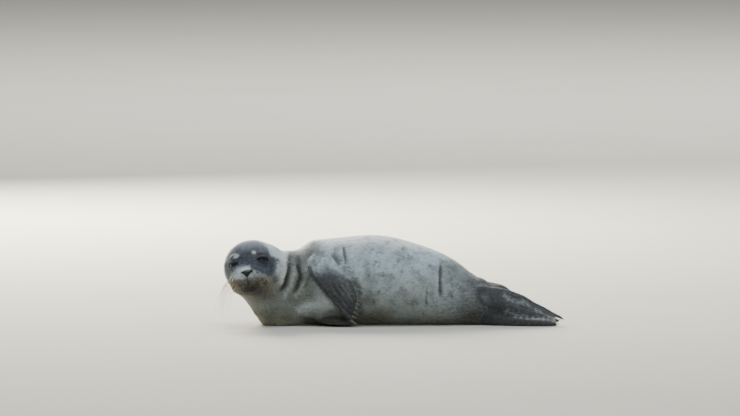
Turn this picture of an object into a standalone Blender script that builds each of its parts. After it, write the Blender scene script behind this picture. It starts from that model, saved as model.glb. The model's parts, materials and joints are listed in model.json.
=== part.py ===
"""A young harbour seal at rest on the floor, life size, in metres.

+X runs from the head end to the hind flippers and +Z is up. The sizes below are laid out about a point on
the floor near the shoulders, and the finished seal is moved so that the origin is under its middle.
The seal lies on its belly, rolled a little to its right. Its left flank faces -Y, and its raised head is
turned to its left, so that the face looks towards -Y as well.

The flesh of head, neck, trunk and tail is lofted, fused into one smooth body and parted with thin cuts.
The flippers are built from an arm or leg, five digits and the web between them.
"""

import math
from collections import namedtuple

import bmesh
import bpy
import numpy as np
from mathutils import Matrix, Vector
from mathutils.bvhtree import BVHTree

# ---------------------------------------------------------------- driving dimensions
UP = Vector((0, 0, 1))
CUT = 0.0004  # width of the thin cuts between nodes
RING_POINTS = 40  # points round each lofted section
BODY_RINGS, HEAD_RINGS, TAIL_RINGS = 72, 40, 12
PADDLE_RINGS = 31
DIGIT_POINTS = 14  # points along a digit
BALL_RINGS, EYE_RINGS = 24, 9
Grain = namedtuple("Grain", "voxel smoothing triangles")  # how overlapping parts are fused into one
FLESH_GRAIN = Grain(0.0040, 9, 3150)
FLIPPER_GRAIN = Grain(0.0025, 3, 450)
SHARP_ANGLE = math.radians(40)

# Head: its frame's origin is midway between the eyes, x forward, y to the animal's left, z up.
HEAD_ORIGIN = Vector((-0.3965, -0.150, 0.1755))
HEAD_YAW = math.radians(-97.5)  # heading of the nose, from +X
HEAD_PITCH = math.radians(9.0)  # nose up
HEAD_ROLL = math.radians(8.0)  # crown towards its right shoulder
EYE_RADIUS = 0.0180
EYE_AIM = Vector((0.70, 0.71, 0.03))  # from the middle of the head out through an eye, left side
EYE_START = Vector((-0.020, 0.012, 0.0))
EYE_PROUD = 0.0045  # how far the eyeball stands out of the head

Station = namedtuple("Station", "x y z half_width up down")
BODY_STATIONS = [
    Station(0.335, -0.034, 0.066, 0.018, 0.016, 0.018),  # inside the root of the tail
    Station(0.300, -0.032, 0.064, 0.044, 0.036, 0.044),
    Station(0.258, -0.028, 0.064, 0.066, 0.053, 0.062),  # hips
    Station(0.215, -0.020, 0.071, 0.086, 0.071, 0.077),
    Station(0.170, -0.012, 0.082, 0.104, 0.094, 0.089),  # loin
    Station(0.120, -0.004, 0.094, 0.121, 0.107, 0.102),
    Station(0.060, 0.004, 0.103, 0.136, 0.119, 0.111),
    Station(-0.010, 0.010, 0.108, 0.146, 0.132, 0.116),  # deepest part of the belly
    Station(-0.070, 0.010, 0.108, 0.147, 0.136, 0.116),
    Station(-0.130, 0.006, 0.107, 0.141, 0.132, 0.115),
    Station(-0.185, 0.000, 0.107, 0.130, 0.127, 0.115),  # shoulders
    Station(-0.222, -0.005, 0.107, 0.120, 0.123, 0.115),
    Station(-0.258, -0.014, 0.106, 0.108, 0.100, 0.114),  # base of the neck
    Station(-0.298, -0.032, 0.111, 0.100, 0.093, 0.119),
    Station(-0.336, -0.056, 0.130, 0.090, 0.078, 0.108),
    Station(-0.364, -0.080, 0.148, 0.076, 0.062, 0.086),
    Station(-0.378, -0.098, 0.154, 0.050, 0.045, 0.055),  # inside the skull
]
HeadStation = namedtuple("HeadStation", "x half_width top bottom")
HEAD_STATIONS = [
    HeadStation(0.0665, 0.010, -0.028, -0.046),  # tip of the muzzle
    HeadStation(0.0620, 0.023, -0.022, -0.061),
    HeadStation(0.0520, 0.033, -0.016, -0.074),
    HeadStation(0.0350, 0.040, -0.005, -0.082),
    HeadStation(0.0160, 0.049, 0.019, -0.084),  # stop of the forehead
    HeadStation(-0.0020, 0.059, 0.042, -0.086),
    HeadStation(-0.0280, 0.072, 0.063, -0.088),
    HeadStation(-0.0600, 0.0805, 0.072, -0.088),  # crown
    HeadStation(-0.0900, 0.0810, 0.068, -0.084),
    HeadStation(-0.1180, 0.0690, 0.051, -0.072),
    HeadStation(-0.1380, 0.0400, 0.020, -0.045),  # back of the skull
]
# Soft masses that stand out of the lofted head: centre and half sizes, left side only.
Mass = namedtuple("Mass", "centre size")
HEAD_PAIRS = {
    "whisker_pad": Mass((0.0430, 0.0220, -0.0480), (0.0245, 0.0235, 0.0200)),
    "cheek": Mass((0.0040, 0.0360, -0.0480), (0.0360, 0.0220, 0.0260)),
    "brow": Mass((-0.0060, 0.0320, 0.0190), (0.0200, 0.0210, 0.0140)),
}
HEAD_SINGLES = {
    "chin": Mass((0.0340, 0.0, -0.0700), (0.0250, 0.0220, 0.0160)),
    "nose_pad": Mass((0.0600, 0.0, -0.0330), (0.0115, 0.0175, 0.0105)),
    "nape": Mass((-0.0850, 0.0240, -0.0050), (0.0600, 0.0720, 0.0680)),  # loose skin behind the head
}
BODY_MASSES = {  # in the frame of the whole seal
    "chest": Mass((-0.3020, -0.0500, 0.0450), (0.0810, 0.0760, 0.0660)),
    "throat": Mass((-0.3350, -0.0680, 0.0800), (0.0780, 0.0740, 0.0680)),
    "chest_fold": Mass((-0.2150, -0.1060, 0.0460), (0.0500, 0.0240, 0.0250)),
}
NOSE_CENTRE = Vector((0.0650, 0.0, -0.0330))
NOSE_WIDTH, NOSE_HEIGHT, NOSE_DEPTH = 0.037, 0.019, 0.014
MOUTH_Z = -0.0640  # level of the closed lips, in the head's frame
MOUTH_CORNER_X = 0.0080
JAW_REGION = (MOUTH_CORNER_X, -0.09, -0.20), (0.12, 0.09, MOUTH_Z)  # lowest and highest corner
HEAD_CUT = Mass((-0.0300, 0.0000, -0.0050), (0.1500, 0.1050, 0.1000))  # parts head and neck
NECK_CUT_POINT, NECK_CUT_NORMAL = Vector((-0.240, 0, 0.1)), Vector((-0.97, -0.20, 0.10))
TAIL_REGION = (0.276, -0.060, 0.0785), (0.500, 0.020, 0.200)  # lowest and highest corner
DIGIT_SHARES = (0.09, 0.30, 0.51, 0.71, 0.91)  # where the digits lie between the two edges
CLAW_POINTS = 5
CLAW_ROOT, CLAW_HOOK, CLAW_TAPER = 0.35, 0.16, 0.86  # shares of a claw's length, length and radius
TAIL = [  # centre line of the short tail, with its half width and half thickness
    (Vector((0.240, -0.026, 0.096)), 0.030, 0.020),
    (Vector((0.275, -0.024, 0.097)), 0.027, 0.017),
    (Vector((0.310, -0.022, 0.092)), 0.021, 0.012),
    (Vector((0.338, -0.021, 0.081)), 0.011, 0.007),
]

# Each flipper is a paddle between its leading and its trailing edge. Both edges have as many knots, from
# inside the body to the digit tips. The thickness is given at the same knots.
# The digits begin at the share digit_start of the length and reach to the shares in reach; the web between
# them ends at web_end. digit_radii are a digit's radius at its root and at its tip. claw is the length and
# radius of a claw, and claw_turn bends it away from its digit.
Paddle = namedtuple("Paddle", "lead trail thick reach web_end digit_start digit_radii claw claw_turn")
FORE_LEFT = Paddle(  # it hangs back and down along the flank, with its claws towards the tail
    lead=[(-0.236, -0.078, 0.166), (-0.231, -0.104, 0.152), (-0.216, -0.126, 0.131), (-0.192, -0.137, 0.101),
          (-0.167, -0.143, 0.072), (-0.143, -0.150, 0.043), (-0.117, -0.160, 0.014)],
    trail=[(-0.190, -0.072, 0.172), (-0.166, -0.098, 0.170), (-0.141, -0.119, 0.157),
           (-0.123, -0.134, 0.137), (-0.110, -0.142, 0.114), (-0.102, -0.147, 0.093),
           (-0.099, -0.152, 0.072)],
    thick=[0.060, 0.052, 0.038, 0.028, 0.022, 0.017, 0.011],
    reach=(1.0, 1.0, 1.0, 0.99, 0.98), web_end=0.93, digit_start=0.40, digit_radii=(0.0100, 0.0062),
    claw=(0.017, 0.0032), claw_turn=(0.9, -0.1, 0.2),
)
FORE_RIGHT = Paddle(  # it lies flat on the floor under the chest, and its end shows beside it
    lead=[(-0.252, -0.056, 0.030), (-0.226, -0.088, 0.021), (-0.196, -0.124, 0.014), (-0.158, -0.145, 0.011),
          (-0.104, -0.146, 0.008)],
    trail=[(-0.236, -0.060, 0.040), (-0.208, -0.084, 0.034), (-0.180, -0.092, 0.026),
           (-0.152, -0.092, 0.020), (-0.126, -0.088, 0.013)],
    thick=[0.044, 0.032, 0.022, 0.016, 0.011],
    reach=(1.0, 1.0, 1.0, 0.99, 0.98), web_end=0.93, digit_start=0.40, digit_radii=(0.0095, 0.0062),
    claw=(0.015, 0.0030), claw_turn=(0.0, 0.0, 0.0),
)
HIND_LEFT = Paddle(  # it lies nearly on edge over the right one and tapers down to the floor
    lead=[(0.205, -0.055, 0.108), (0.250, -0.062, 0.106), (0.300, -0.066, 0.096), (0.340, -0.067, 0.086),
          (0.390, -0.068, 0.057), (0.430, -0.068, 0.036), (0.470, -0.069, 0.018)],
    trail=[(0.205, -0.070, 0.045), (0.250, -0.083, 0.050), (0.300, -0.096, 0.042), (0.345, -0.104, 0.033),
           (0.390, -0.108, 0.025), (0.430, -0.110, 0.020), (0.462, -0.111, 0.0170)],
    thick=[0.060, 0.056, 0.042, 0.026, 0.018, 0.014, 0.011],
    reach=(1.0, 0.93, 0.90, 0.92, 0.98), web_end=0.86, digit_start=0.44, digit_radii=(0.0112, 0.0062),
    claw=(0.008, 0.0022), claw_turn=(0.0, 0.0, 0.0),
)
HIND_RIGHT = Paddle(  # it lies on the floor under the left one
    lead=[(0.205, -0.072, 0.030), (0.255, -0.093, 0.022), (0.300, -0.109, 0.015), (0.345, -0.119, 0.011),
          (0.400, -0.125, 0.009), (0.455, -0.127, 0.007)],
    trail=[(0.205, -0.005, 0.045), (0.255, -0.022, 0.040), (0.300, -0.036, 0.032), (0.345, -0.045, 0.022),
           (0.395, -0.052, 0.013), (0.445, -0.056, 0.007)],
    thick=[0.056, 0.046, 0.032, 0.021, 0.015, 0.011],
    reach=(1.0, 0.93, 0.90, 0.92, 0.98), web_end=0.86, digit_start=0.44, digit_radii=(0.0105, 0.0062),
    claw=(0.008, 0.0022), claw_turn=(0.0, 0.0, 0.0),
)
FLIPPERS = {
    "fore_flipper_left": FORE_LEFT,
    "fore_flipper_right": FORE_RIGHT,
    "hind_flipper_left": HIND_LEFT,
    "hind_flipper_right": HIND_RIGHT,
}

# ---------------------------------------------------------------- small helpers


def clear_scene():
    for obj in list(bpy.data.objects):
        bpy.data.objects.remove(obj)


def material(name, colour, roughness):
    made = bpy.data.materials.new(name)
    made.use_nodes = True
    shader = made.node_tree.nodes["Principled BSDF"]
    shader.inputs["Base Color"].default_value = (*colour, 1)
    shader.inputs["Roughness"].default_value = roughness
    shader.inputs["Metallic"].default_value = 0.0
    return made


def through(knots, count):
    """count points of a smooth curve through the knots, spaced evenly by knot number (Catmull-Rom)."""
    knots = np.asarray(knots, float)
    ends = np.concatenate([[2 * knots[0] - knots[1]], knots, [2 * knots[-1] - knots[-2]]])
    found = []
    for place in np.linspace(0, len(knots) - 1, count):
        start = min(int(place), len(knots) - 2)
        t = place - start
        a, b, c, d = ends[start : start + 4]
        found.append(
            0.5 * (2 * b + (c - a) * t + (2 * a - 5 * b + 4 * c - d) * t**2 + (3 * b - a - 3 * c + d) * t**3)
        )
    return np.array(found)


def mesh_object(name, mesh, collection):
    obj = bpy.data.objects.new(name, mesh)
    collection.objects.link(obj)
    return obj


def loft(name, rings, collection):
    """A closed skin over rings of equal point count, with its two ends capped."""
    bm = bmesh.new()
    loops = [[bm.verts.new(point) for point in ring] for ring in rings]
    for low, high in zip(loops, loops[1:]):
        for i in range(len(low)):
            j = (i + 1) % len(low)
            bm.faces.new((low[i], low[j], high[j], high[i]))
    bm.faces.new(loops[0][::-1])
    bm.faces.new(loops[-1])
    bmesh.ops.recalc_face_normals(bm, faces=bm.faces)
    mesh = bpy.data.meshes.new(name)
    bm.to_mesh(mesh)
    bm.free()
    return mesh_object(name, mesh, collection)


def section(half_width, up, down, squareness_up=2.1, squareness_down=2.4):
    """(sideways, upwards) offsets of a rounded body section that sags a little towards its underside."""
    offsets = []
    for angle in np.linspace(0, 2 * math.pi, RING_POINTS, endpoint=False):
        c, s = math.cos(angle), math.sin(angle)
        power = 2 / (squareness_up if s >= 0 else squareness_down)
        side = math.copysign(abs(c) ** power, c) * half_width
        rise = math.copysign(abs(s) ** power, s) * (up if s >= 0 else down)
        offsets.append((side, rise))
    return offsets


def ball(name, centre, size, matrix, collection, rings=BALL_RINGS):
    """An ellipsoid with its middle and half sizes in the frame of the matrix."""
    bm = bmesh.new()
    bmesh.ops.create_uvsphere(bm, u_segments=2 * rings, v_segments=rings, radius=1.0)
    place = matrix @ Matrix.Translation(centre) @ Matrix.Diagonal((*size, 1))
    bmesh.ops.transform(bm, matrix=place, verts=bm.verts)
    mesh = bpy.data.meshes.new(name)
    bm.to_mesh(mesh)
    bm.free()
    return mesh_object(name, mesh, collection)


def box(name, low, high, matrix, collection):
    bm = bmesh.new()
    bmesh.ops.create_cube(bm, size=1.0)
    low, high = Vector(low), Vector(high)
    place = Matrix.Translation((low + high) / 2) @ Matrix.Diagonal((*(high - low), 1))
    bmesh.ops.transform(bm, matrix=matrix @ place, verts=bm.verts)
    mesh = bpy.data.meshes.new(name)
    bm.to_mesh(mesh)
    bm.free()
    return mesh_object(name, mesh, collection)


def baked(obj, name, collection):
    """A new object that holds the evaluated mesh of obj, which is removed."""
    bpy.context.view_layer.update()
    graph = bpy.context.evaluated_depsgraph_get()
    mesh = bpy.data.meshes.new_from_object(obj.evaluated_get(graph))
    mesh.transform(obj.matrix_world)
    bpy.data.objects.remove(obj)
    made = mesh_object(name, mesh, collection)
    mesh.name = name
    return made


def tube(name, points, radii, collection, fineness=4):
    """A round limb or digit along smooth points, with a radius at each."""
    curve = bpy.data.curves.new(name, "CURVE")
    curve.dimensions = "3D"
    curve.bevel_depth = 1.0
    curve.bevel_resolution = fineness
    curve.use_fill_caps = True
    spline = curve.splines.new("POLY")
    spline.points.add(len(points) - 1)
    for place, point, radius in zip(spline.points, points, radii):
        place.co = (*point, 1)
        place.radius = radius
    obj = bpy.data.objects.new(name, curve)
    collection.objects.link(obj)
    made = baked(obj, name, collection)
    bm = bmesh.new()
    bm.from_mesh(made.data)
    bmesh.ops.remove_doubles(bm, verts=bm.verts, dist=1e-5)
    bmesh.ops.recalc_face_normals(bm, faces=bm.faces)
    bm.to_mesh(made.data)
    bm.free()
    return made


def joined(name, parts, collection):
    bm = bmesh.new()
    for part in parts:
        bm.from_mesh(part.data)
        bpy.data.objects.remove(part)
    mesh = bpy.data.meshes.new(name)
    bm.to_mesh(mesh)
    bm.free()
    return mesh_object(name, mesh, collection)


def fused(name, parts, collection, grain):
    """One smooth closed mesh from overlapping parts."""
    obj = joined(name, parts, collection)
    remesh = obj.modifiers.new("fuse", "REMESH")
    remesh.mode = "VOXEL"
    remesh.voxel_size = grain.voxel
    smooth = obj.modifiers.new("smooth", "SMOOTH")
    smooth.factor = 0.5
    smooth.iterations = grain.smoothing
    obj = baked(obj, name, collection)
    decimate = obj.modifiers.new("decimate", "DECIMATE")
    triangles = sum(len(polygon.vertices) - 2 for polygon in obj.data.polygons)
    decimate.ratio = grain.triangles / triangles
    return baked(obj, name, collection)


def combined(name, obj, other, operation, collection, keep=False):
    """obj after one exact Boolean with other. keep leaves obj in place too."""
    if keep:
        copy = obj.copy()
        copy.data = obj.data.copy()
        collection.objects.link(copy)
        obj = copy
    modifier = obj.modifiers.new("cut", "BOOLEAN")
    modifier.operation = operation
    modifier.solver = "EXACT"
    modifier.object = other
    return baked(obj, name, collection)


def grown(obj, distance, collection):
    """A copy of obj whose surface stands off by distance."""
    copy = obj.copy()
    copy.data = obj.data.copy()
    collection.objects.link(copy)
    displace = copy.modifiers.new("grow", "DISPLACE")
    displace.strength = distance
    displace.mid_level = 0.0
    return baked(copy, obj.name + "_grown", collection)


def surface_tree(obj):
    """A tree that answers where a ray meets the surface of obj."""
    bm = bmesh.new()
    bm.from_mesh(obj.data)
    tree = BVHTree.FromBMesh(bm)
    bm.free()
    return tree


def head_matrix():
    """From the head's own frame to the seal's."""
    turn = (
        Matrix.Rotation(HEAD_YAW, 4, "Z")
        @ Matrix.Rotation(-HEAD_PITCH, 4, "Y")
        @ Matrix.Rotation(HEAD_ROLL, 4, "X")
    )
    return Matrix.Translation(HEAD_ORIGIN) @ turn


# ---------------------------------------------------------------- head, neck, trunk and tail


def body_loft(collection):
    """The long loft from the root of the tail through trunk and neck into the skull."""
    path = through(BODY_STATIONS, BODY_RINGS)
    rings = []
    for i, (x, y, z, half_width, up, down) in enumerate(path):
        ahead, behind = path[min(i + 1, len(path) - 1)], path[max(i - 1, 0)]
        along = Vector(ahead[:3] - behind[:3])
        side = along.cross(UP).normalized()
        centre = Vector((x, y, z))
        rings.append([centre + side * s + UP * r for s, r in section(half_width, up, down)])
    return loft("body_loft", rings, collection)


def head_loft(matrix, collection):
    rings = []
    for x, half_width, top, bottom in through(HEAD_STATIONS, HEAD_RINGS):
        middle, half_height = (top + bottom) / 2, (top - bottom) / 2
        shape = section(half_width, half_height, half_height, 2.1, 1.8)
        rings.append([matrix @ Vector((x, s, middle + r)) for s, r in shape])
    return loft("head_loft", rings, collection)


def head_masses(matrix, collection):
    parts = [ball(name, mass.centre, mass.size, matrix, collection) for name, mass in HEAD_SINGLES.items()]
    for name, mass in HEAD_PAIRS.items():
        for side in (1, -1):
            centre = Vector(mass.centre) * Vector((1, side, 1))
            parts.append(ball(name, centre, mass.size, matrix, collection))
    return parts


def tail_loft(collection):
    rings = []
    knots = [(*centre, half_width, half_thick) for centre, half_width, half_thick in TAIL]
    for x, y, z, half_width, half_thick in through(knots, TAIL_RINGS):
        shape = section(half_width, half_thick, half_thick, 2.0, 2.0)
        rings.append([Vector((x, y + s, z + r)) for s, r in shape])
    return loft("tail_loft", rings, collection)


def make_flesh(matrix, collection):
    parts = [body_loft(collection), head_loft(matrix, collection), tail_loft(collection)]
    parts += head_masses(matrix, collection)
    parts += [ball(name, mass.centre, mass.size, Matrix(), collection) for name, mass in BODY_MASSES.items()]
    return fused("flesh", parts, collection, FLESH_GRAIN)


# ---------------------------------------------------------------- flippers and claws


def paddle_grid(paddle, steps):
    """Points of both edges, and the thickness, at even steps from the root to the tips."""
    lead = [Vector(point) for point in through(paddle.lead, steps)]
    trail = [Vector(point) for point in through(paddle.trail, steps)]
    return lead, trail, through(paddle.thick, steps)


def paddle_loft(name, paddle, collection):
    """The flat of the flipper, which stops a little short of the digit tips."""
    lead, trail, thick = paddle_grid(paddle, PADDLE_RINGS)
    rings = []
    for i in range(int(PADDLE_RINGS * paddle.web_end)):
        middle = (lead[i] + trail[i]) / 2
        ahead = (lead[i + 1] + trail[i + 1]) / 2
        behind = (lead[max(i - 1, 0)] + trail[max(i - 1, 0)]) / 2
        across = (trail[i] - lead[i]) / 2
        normal = (ahead - behind).cross(across).normalized()
        shape = section(1.0, thick[i] / 2, thick[i] / 2, 2.3, 2.3)
        rings.append([middle + across * s + normal * r for s, r in shape])
    return loft(name, rings, collection)


def digit_paths(paddle, steps=101):
    """Centre lines of the five digits, from the first at the leading edge to the fifth."""
    lead, trail, _ = paddle_grid(paddle, steps)
    paths = []
    for share, reach in zip(DIGIT_SHARES, paddle.reach):
        places = np.linspace(paddle.digit_start, reach, DIGIT_POINTS) * (steps - 1)
        paths.append([lead[round(i)].lerp(trail[round(i)], share) for i in places])
    return paths


def flipper(name, paddle, collection):
    """A flipper with its digits, and the places and headings of its claws."""
    parts = [paddle_loft(name, paddle, collection)]
    claws = []
    for path in digit_paths(paddle):
        share = np.linspace(0, 1, len(path))
        start, end = paddle.digit_radii
        radii = start + (end - start) * share
        radii *= np.interp(share, (0, 0.3, 0.96, 1), (0.4, 1, 1, 0.6))  # it rises out of the palm
        parts.append(tube(name + "_digit", path, radii, collection))
        heading = (path[-1] - path[-5]).normalized() + Vector(paddle.claw_turn)
        claws.append((path[-1], heading.normalized()))
    return fused(name, parts, collection, FLIPPER_GRAIN), claws


def claw(name, start, heading, length, radius, collection):
    """A slender nail that starts inside the digit's tip and bends down over its length."""
    side = heading.cross(UP).normalized()
    down = side.cross(heading).normalized() * -1
    points, radii = [], []
    for share in np.linspace(0, 1, CLAW_POINTS):
        ahead = share * (1 + CLAW_ROOT) - CLAW_ROOT
        points.append(start + (heading * ahead + down * CLAW_HOOK * share**2) * length)
        radii.append(radius * (1 - CLAW_TAPER * share**1.5))
    return tube(name, points, radii, collection, fineness=1)


# ---------------------------------------------------------------- putting it together


def finish(obj, name, look):
    obj.name = name
    obj.data.name = name
    obj.data.materials.clear()
    obj.data.materials.append(look)
    obj.data.shade_smooth()
    obj.data.set_sharp_from_angle(angle=SHARP_ANGLE)
    return obj


def centre_over_origin(collection):
    """Moves every mesh level with the floor, so that the origin is under the middle of the whole seal."""
    corners = np.array([vertex.co for obj in collection.objects for vertex in obj.data.vertices])
    middle = (corners.min(axis=0) + corners.max(axis=0)) / 2
    for obj in collection.objects:
        obj.data.transform(Matrix.Translation((-middle[0], -middle[1], 0)))


def hand_over(obj, work, seal):
    work.objects.unlink(obj)
    seal.objects.link(obj)


def largest_body(obj):
    """Keeps only the largest of the loose bodies that a cut has left."""
    bm = bmesh.new()
    bm.from_mesh(obj.data)
    left = set(bm.verts)
    bodies = []
    while left:
        seed = left.pop()
        body, edge = {seed}, [seed]
        while edge:
            vertex = edge.pop()
            for link in vertex.link_edges:
                other = link.other_vert(vertex)
                if other not in body:
                    body.add(other)
                    edge.append(other)
        left -= body
        bodies.append(body)

    def span(body):
        corners = np.array([vertex.co for vertex in body])
        return float(np.prod(np.ptp(corners, axis=0)))

    bodies.sort(key=span)
    loose = [vertex for body in bodies[:-1] for vertex in body]
    bmesh.ops.delete(bm, geom=loose, context="VERTS")
    bm.to_mesh(obj.data)
    bm.free()
    return obj


def set_eyes(flesh, matrix, seal, work, wet):
    """Sets each eye where its line of sight leaves the face, and returns the flesh with both sockets."""
    tree = surface_tree(flesh)
    for side, label in ((1, "left"), (-1, "right")):
        mirror = Vector((1, side, 1))
        start = matrix @ (EYE_START * mirror)
        aim = (matrix.to_3x3() @ (EYE_AIM * mirror)).normalized()
        surface = tree.ray_cast(start, aim)[0]
        place = Matrix.Translation(surface + aim * (EYE_PROUD - EYE_RADIUS))
        eye = ball("eye_" + label, (0, 0, 0), [EYE_RADIUS] * 3, place, seal, rings=EYE_RINGS)
        finish(eye, "eye_" + label, wet)
        socket = ball("socket", (0, 0, 0), [EYE_RADIUS + CUT] * 3, place, work, rings=EYE_RINGS)
        flesh = combined("flesh", flesh, socket, "DIFFERENCE", work)
    return flesh


def set_limbs(flesh, below_floor, seal, work, dark_fur, horn):
    """Makes flippers and claws. Each is cut by the floor and by what it lies against."""
    cutters = [below_floor, grown(flesh, CUT, work)]
    claws = []
    for name, paddle in FLIPPERS.items():
        made, places = flipper(name, paddle, work)
        for cutter in cutters:
            made = combined(name, made, cutter, "DIFFERENCE", work)
        made = largest_body(made)
        cutters.append(grown(made, CUT, work))
        hand_over(finish(made, name, dark_fur), work, seal)
        for number, place in enumerate(places, start=1):
            claws.append((name.replace("flipper", "claw") + f"_{number}", place, paddle.claw))
    for name, (start, heading), (length, radius) in claws:
        nail = claw(name, start, heading, length, radius, work)
        for cutter in cutters:
            nail = combined(name, nail, cutter, "DIFFERENCE", work)
        hand_over(finish(largest_body(nail), name, horn), work, seal)


def nose_prism(margin, matrix, collection):
    """The three-cornered pad of the nose, point down, larger all round by the margin."""
    depth, width, height = (0.5 * size + margin for size in (NOSE_DEPTH, NOSE_WIDTH, NOSE_HEIGHT))
    corners = ((-width, height), (width, height), (0, -height))
    rings = [[matrix @ (NOSE_CENTRE + Vector((x, y, z))) for y, z in corners] for x in (-depth, depth)]
    return loft("nose_prism", rings, collection)


def parted(name, obj, region, matrix, collection):
    """The piece of obj inside the box region, and what is left of obj outside a cut round it."""
    low, high = (Vector(corner) for corner in region)
    gap = Vector([CUT] * 3)
    inner = box(name + "_region", low, high, matrix, collection)
    outer = box(name + "_region_outer", low - gap, high + gap, matrix, collection)
    piece = combined(name, obj, inner, "INTERSECT", collection, keep=True)
    return piece, combined(obj.name, obj, outer, "DIFFERENCE", collection)


def part_flesh(flesh, matrix, work):
    """Parts the fused flesh into head, nose, lower jaw, neck, trunk and tail."""
    centre, size = Vector(HEAD_CUT.centre), Vector(HEAD_CUT.size)
    inner = ball("head_region", centre, size, matrix, work)
    outer = ball("head_region_outer", centre, size + Vector([CUT] * 3), matrix, work)
    head = combined("head", flesh, inner, "INTERSECT", work, keep=True)
    rest = combined("rest", flesh, outer, "DIFFERENCE", work)

    nose = combined("nose", head, nose_prism(0.0, matrix, work), "INTERSECT", work, keep=True)
    head = combined("head", head, nose_prism(CUT, matrix, work), "DIFFERENCE", work)
    jaw, head = parted("lower_jaw", head, JAW_REGION, matrix, work)

    turn = NECK_CUT_NORMAL.to_track_quat("X", "Z").to_matrix().to_4x4()
    plane = Matrix.Translation(NECK_CUT_POINT) @ turn
    ahead = box("neck_region", (CUT, -0.4, -0.4), (0.6, 0.4, 0.4), plane, work)
    behind = box("trunk_region", (-1.2, -0.6, -0.6), (0, 0.6, 0.6), plane, work)
    neck = combined("neck", rest, ahead, "INTERSECT", work, keep=True)
    trunk = combined("trunk", rest, behind, "INTERSECT", work)
    tail, trunk = parted("tail", trunk, TAIL_REGION, Matrix(), work)
    return {"head": head, "nose": nose, "lower_jaw": jaw, "neck": neck, "trunk": trunk, "tail": tail}


def main():
    clear_scene()
    seal = bpy.data.collections.new("harbour_seal")
    work = bpy.data.collections.new("cutters")
    for collection in (seal, work):
        bpy.context.scene.collection.children.link(collection)

    fur = material("fur", (0.36, 0.37, 0.36), 0.75)
    dark_fur = material("dark_fur", (0.06, 0.06, 0.07), 0.7)
    bare = material("bare_skin", (0.015, 0.014, 0.015), 0.35)
    wet = material("eye", (0.01, 0.008, 0.007), 0.05)
    horn = material("claw", (0.22, 0.19, 0.15), 0.45)

    matrix = head_matrix()
    below_floor = box("below_floor", (-1, -1, -0.2), (1, 1, 0), Matrix(), work)
    flesh = combined("flesh", make_flesh(matrix, work), below_floor, "DIFFERENCE", work)
    flesh = set_eyes(flesh, matrix, seal, work, wet)
    set_limbs(flesh, below_floor, seal, work, dark_fur, horn)
    looks = {"nose": bare, "tail": dark_fur}
    for name, obj in part_flesh(flesh, matrix, work).items():
        hand_over(finish(largest_body(obj), name, looks.get(name, fur)), work, seal)
    for obj in list(work.objects):
        bpy.data.objects.remove(obj)
    centre_over_origin(seal)


main()
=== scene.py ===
import json
import math

import bpy
import numpy as np
from mathutils import Matrix, Vector
from mathutils.bvhtree import BVHTree

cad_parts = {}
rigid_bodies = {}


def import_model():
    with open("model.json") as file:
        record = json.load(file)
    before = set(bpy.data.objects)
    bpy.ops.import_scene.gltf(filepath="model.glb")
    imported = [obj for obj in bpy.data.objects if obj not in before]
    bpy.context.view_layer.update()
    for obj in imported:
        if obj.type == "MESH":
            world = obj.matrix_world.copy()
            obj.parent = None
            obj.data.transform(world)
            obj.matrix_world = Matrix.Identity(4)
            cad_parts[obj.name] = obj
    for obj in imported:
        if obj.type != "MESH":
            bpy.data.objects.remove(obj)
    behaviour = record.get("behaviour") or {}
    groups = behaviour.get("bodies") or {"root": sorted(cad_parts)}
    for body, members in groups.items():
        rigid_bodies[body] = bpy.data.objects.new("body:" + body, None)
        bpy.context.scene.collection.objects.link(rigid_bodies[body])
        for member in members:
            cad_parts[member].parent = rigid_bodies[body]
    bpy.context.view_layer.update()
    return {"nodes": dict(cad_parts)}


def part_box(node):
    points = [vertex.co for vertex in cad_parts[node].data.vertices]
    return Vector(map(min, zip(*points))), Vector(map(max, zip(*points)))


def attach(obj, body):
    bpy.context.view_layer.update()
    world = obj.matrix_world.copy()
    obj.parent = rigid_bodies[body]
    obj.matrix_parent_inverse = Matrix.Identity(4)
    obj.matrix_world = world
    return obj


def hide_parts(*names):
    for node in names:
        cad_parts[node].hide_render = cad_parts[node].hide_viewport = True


# A young harbour seal at rest on the floor, in metres. +X runs from the head end to the hind flippers,
# and its left side looks towards -Y.
# One skin stands for all the flesh, and a short coat of thin tufts lies on it.

for default in list(bpy.data.objects):
    bpy.data.objects.remove(default)
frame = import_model()
nodes = frame["nodes"]
random = np.random.default_rng(20)

# ---------------------------------------------------------------- sizes and places
UP = np.array([0.0, 0.0, 1.0])
BOTH = (1, -1)  # the sign of y on the head's left side and on its right
FLIPPERS = ("fore_flipper_left", "fore_flipper_right", "hind_flipper_left", "hind_flipper_right")
LIMBS = ("tail", *FLIPPERS)
FLESH = ("head", "lower_jaw", "nose", "neck", "trunk", *LIMBS)
SKIN_GRAIN = 0.0044  # spacing of the skin's points on the trunk
BODY_ROUNDS, LIMB_ROUNDS = 26, 6  # of smoothing, on the body and on the flippers
FAR_SHARE = 0.42  # of its faces that the smooth far side keeps
COAT_DEPTH = 0.0019  # how far the skin lies inside the solids
COAT_THINNER = 0.0012  # how much less on the head and the flippers
FLOOR_GAP = 0.0006  # the skin's clearance above the floor

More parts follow.
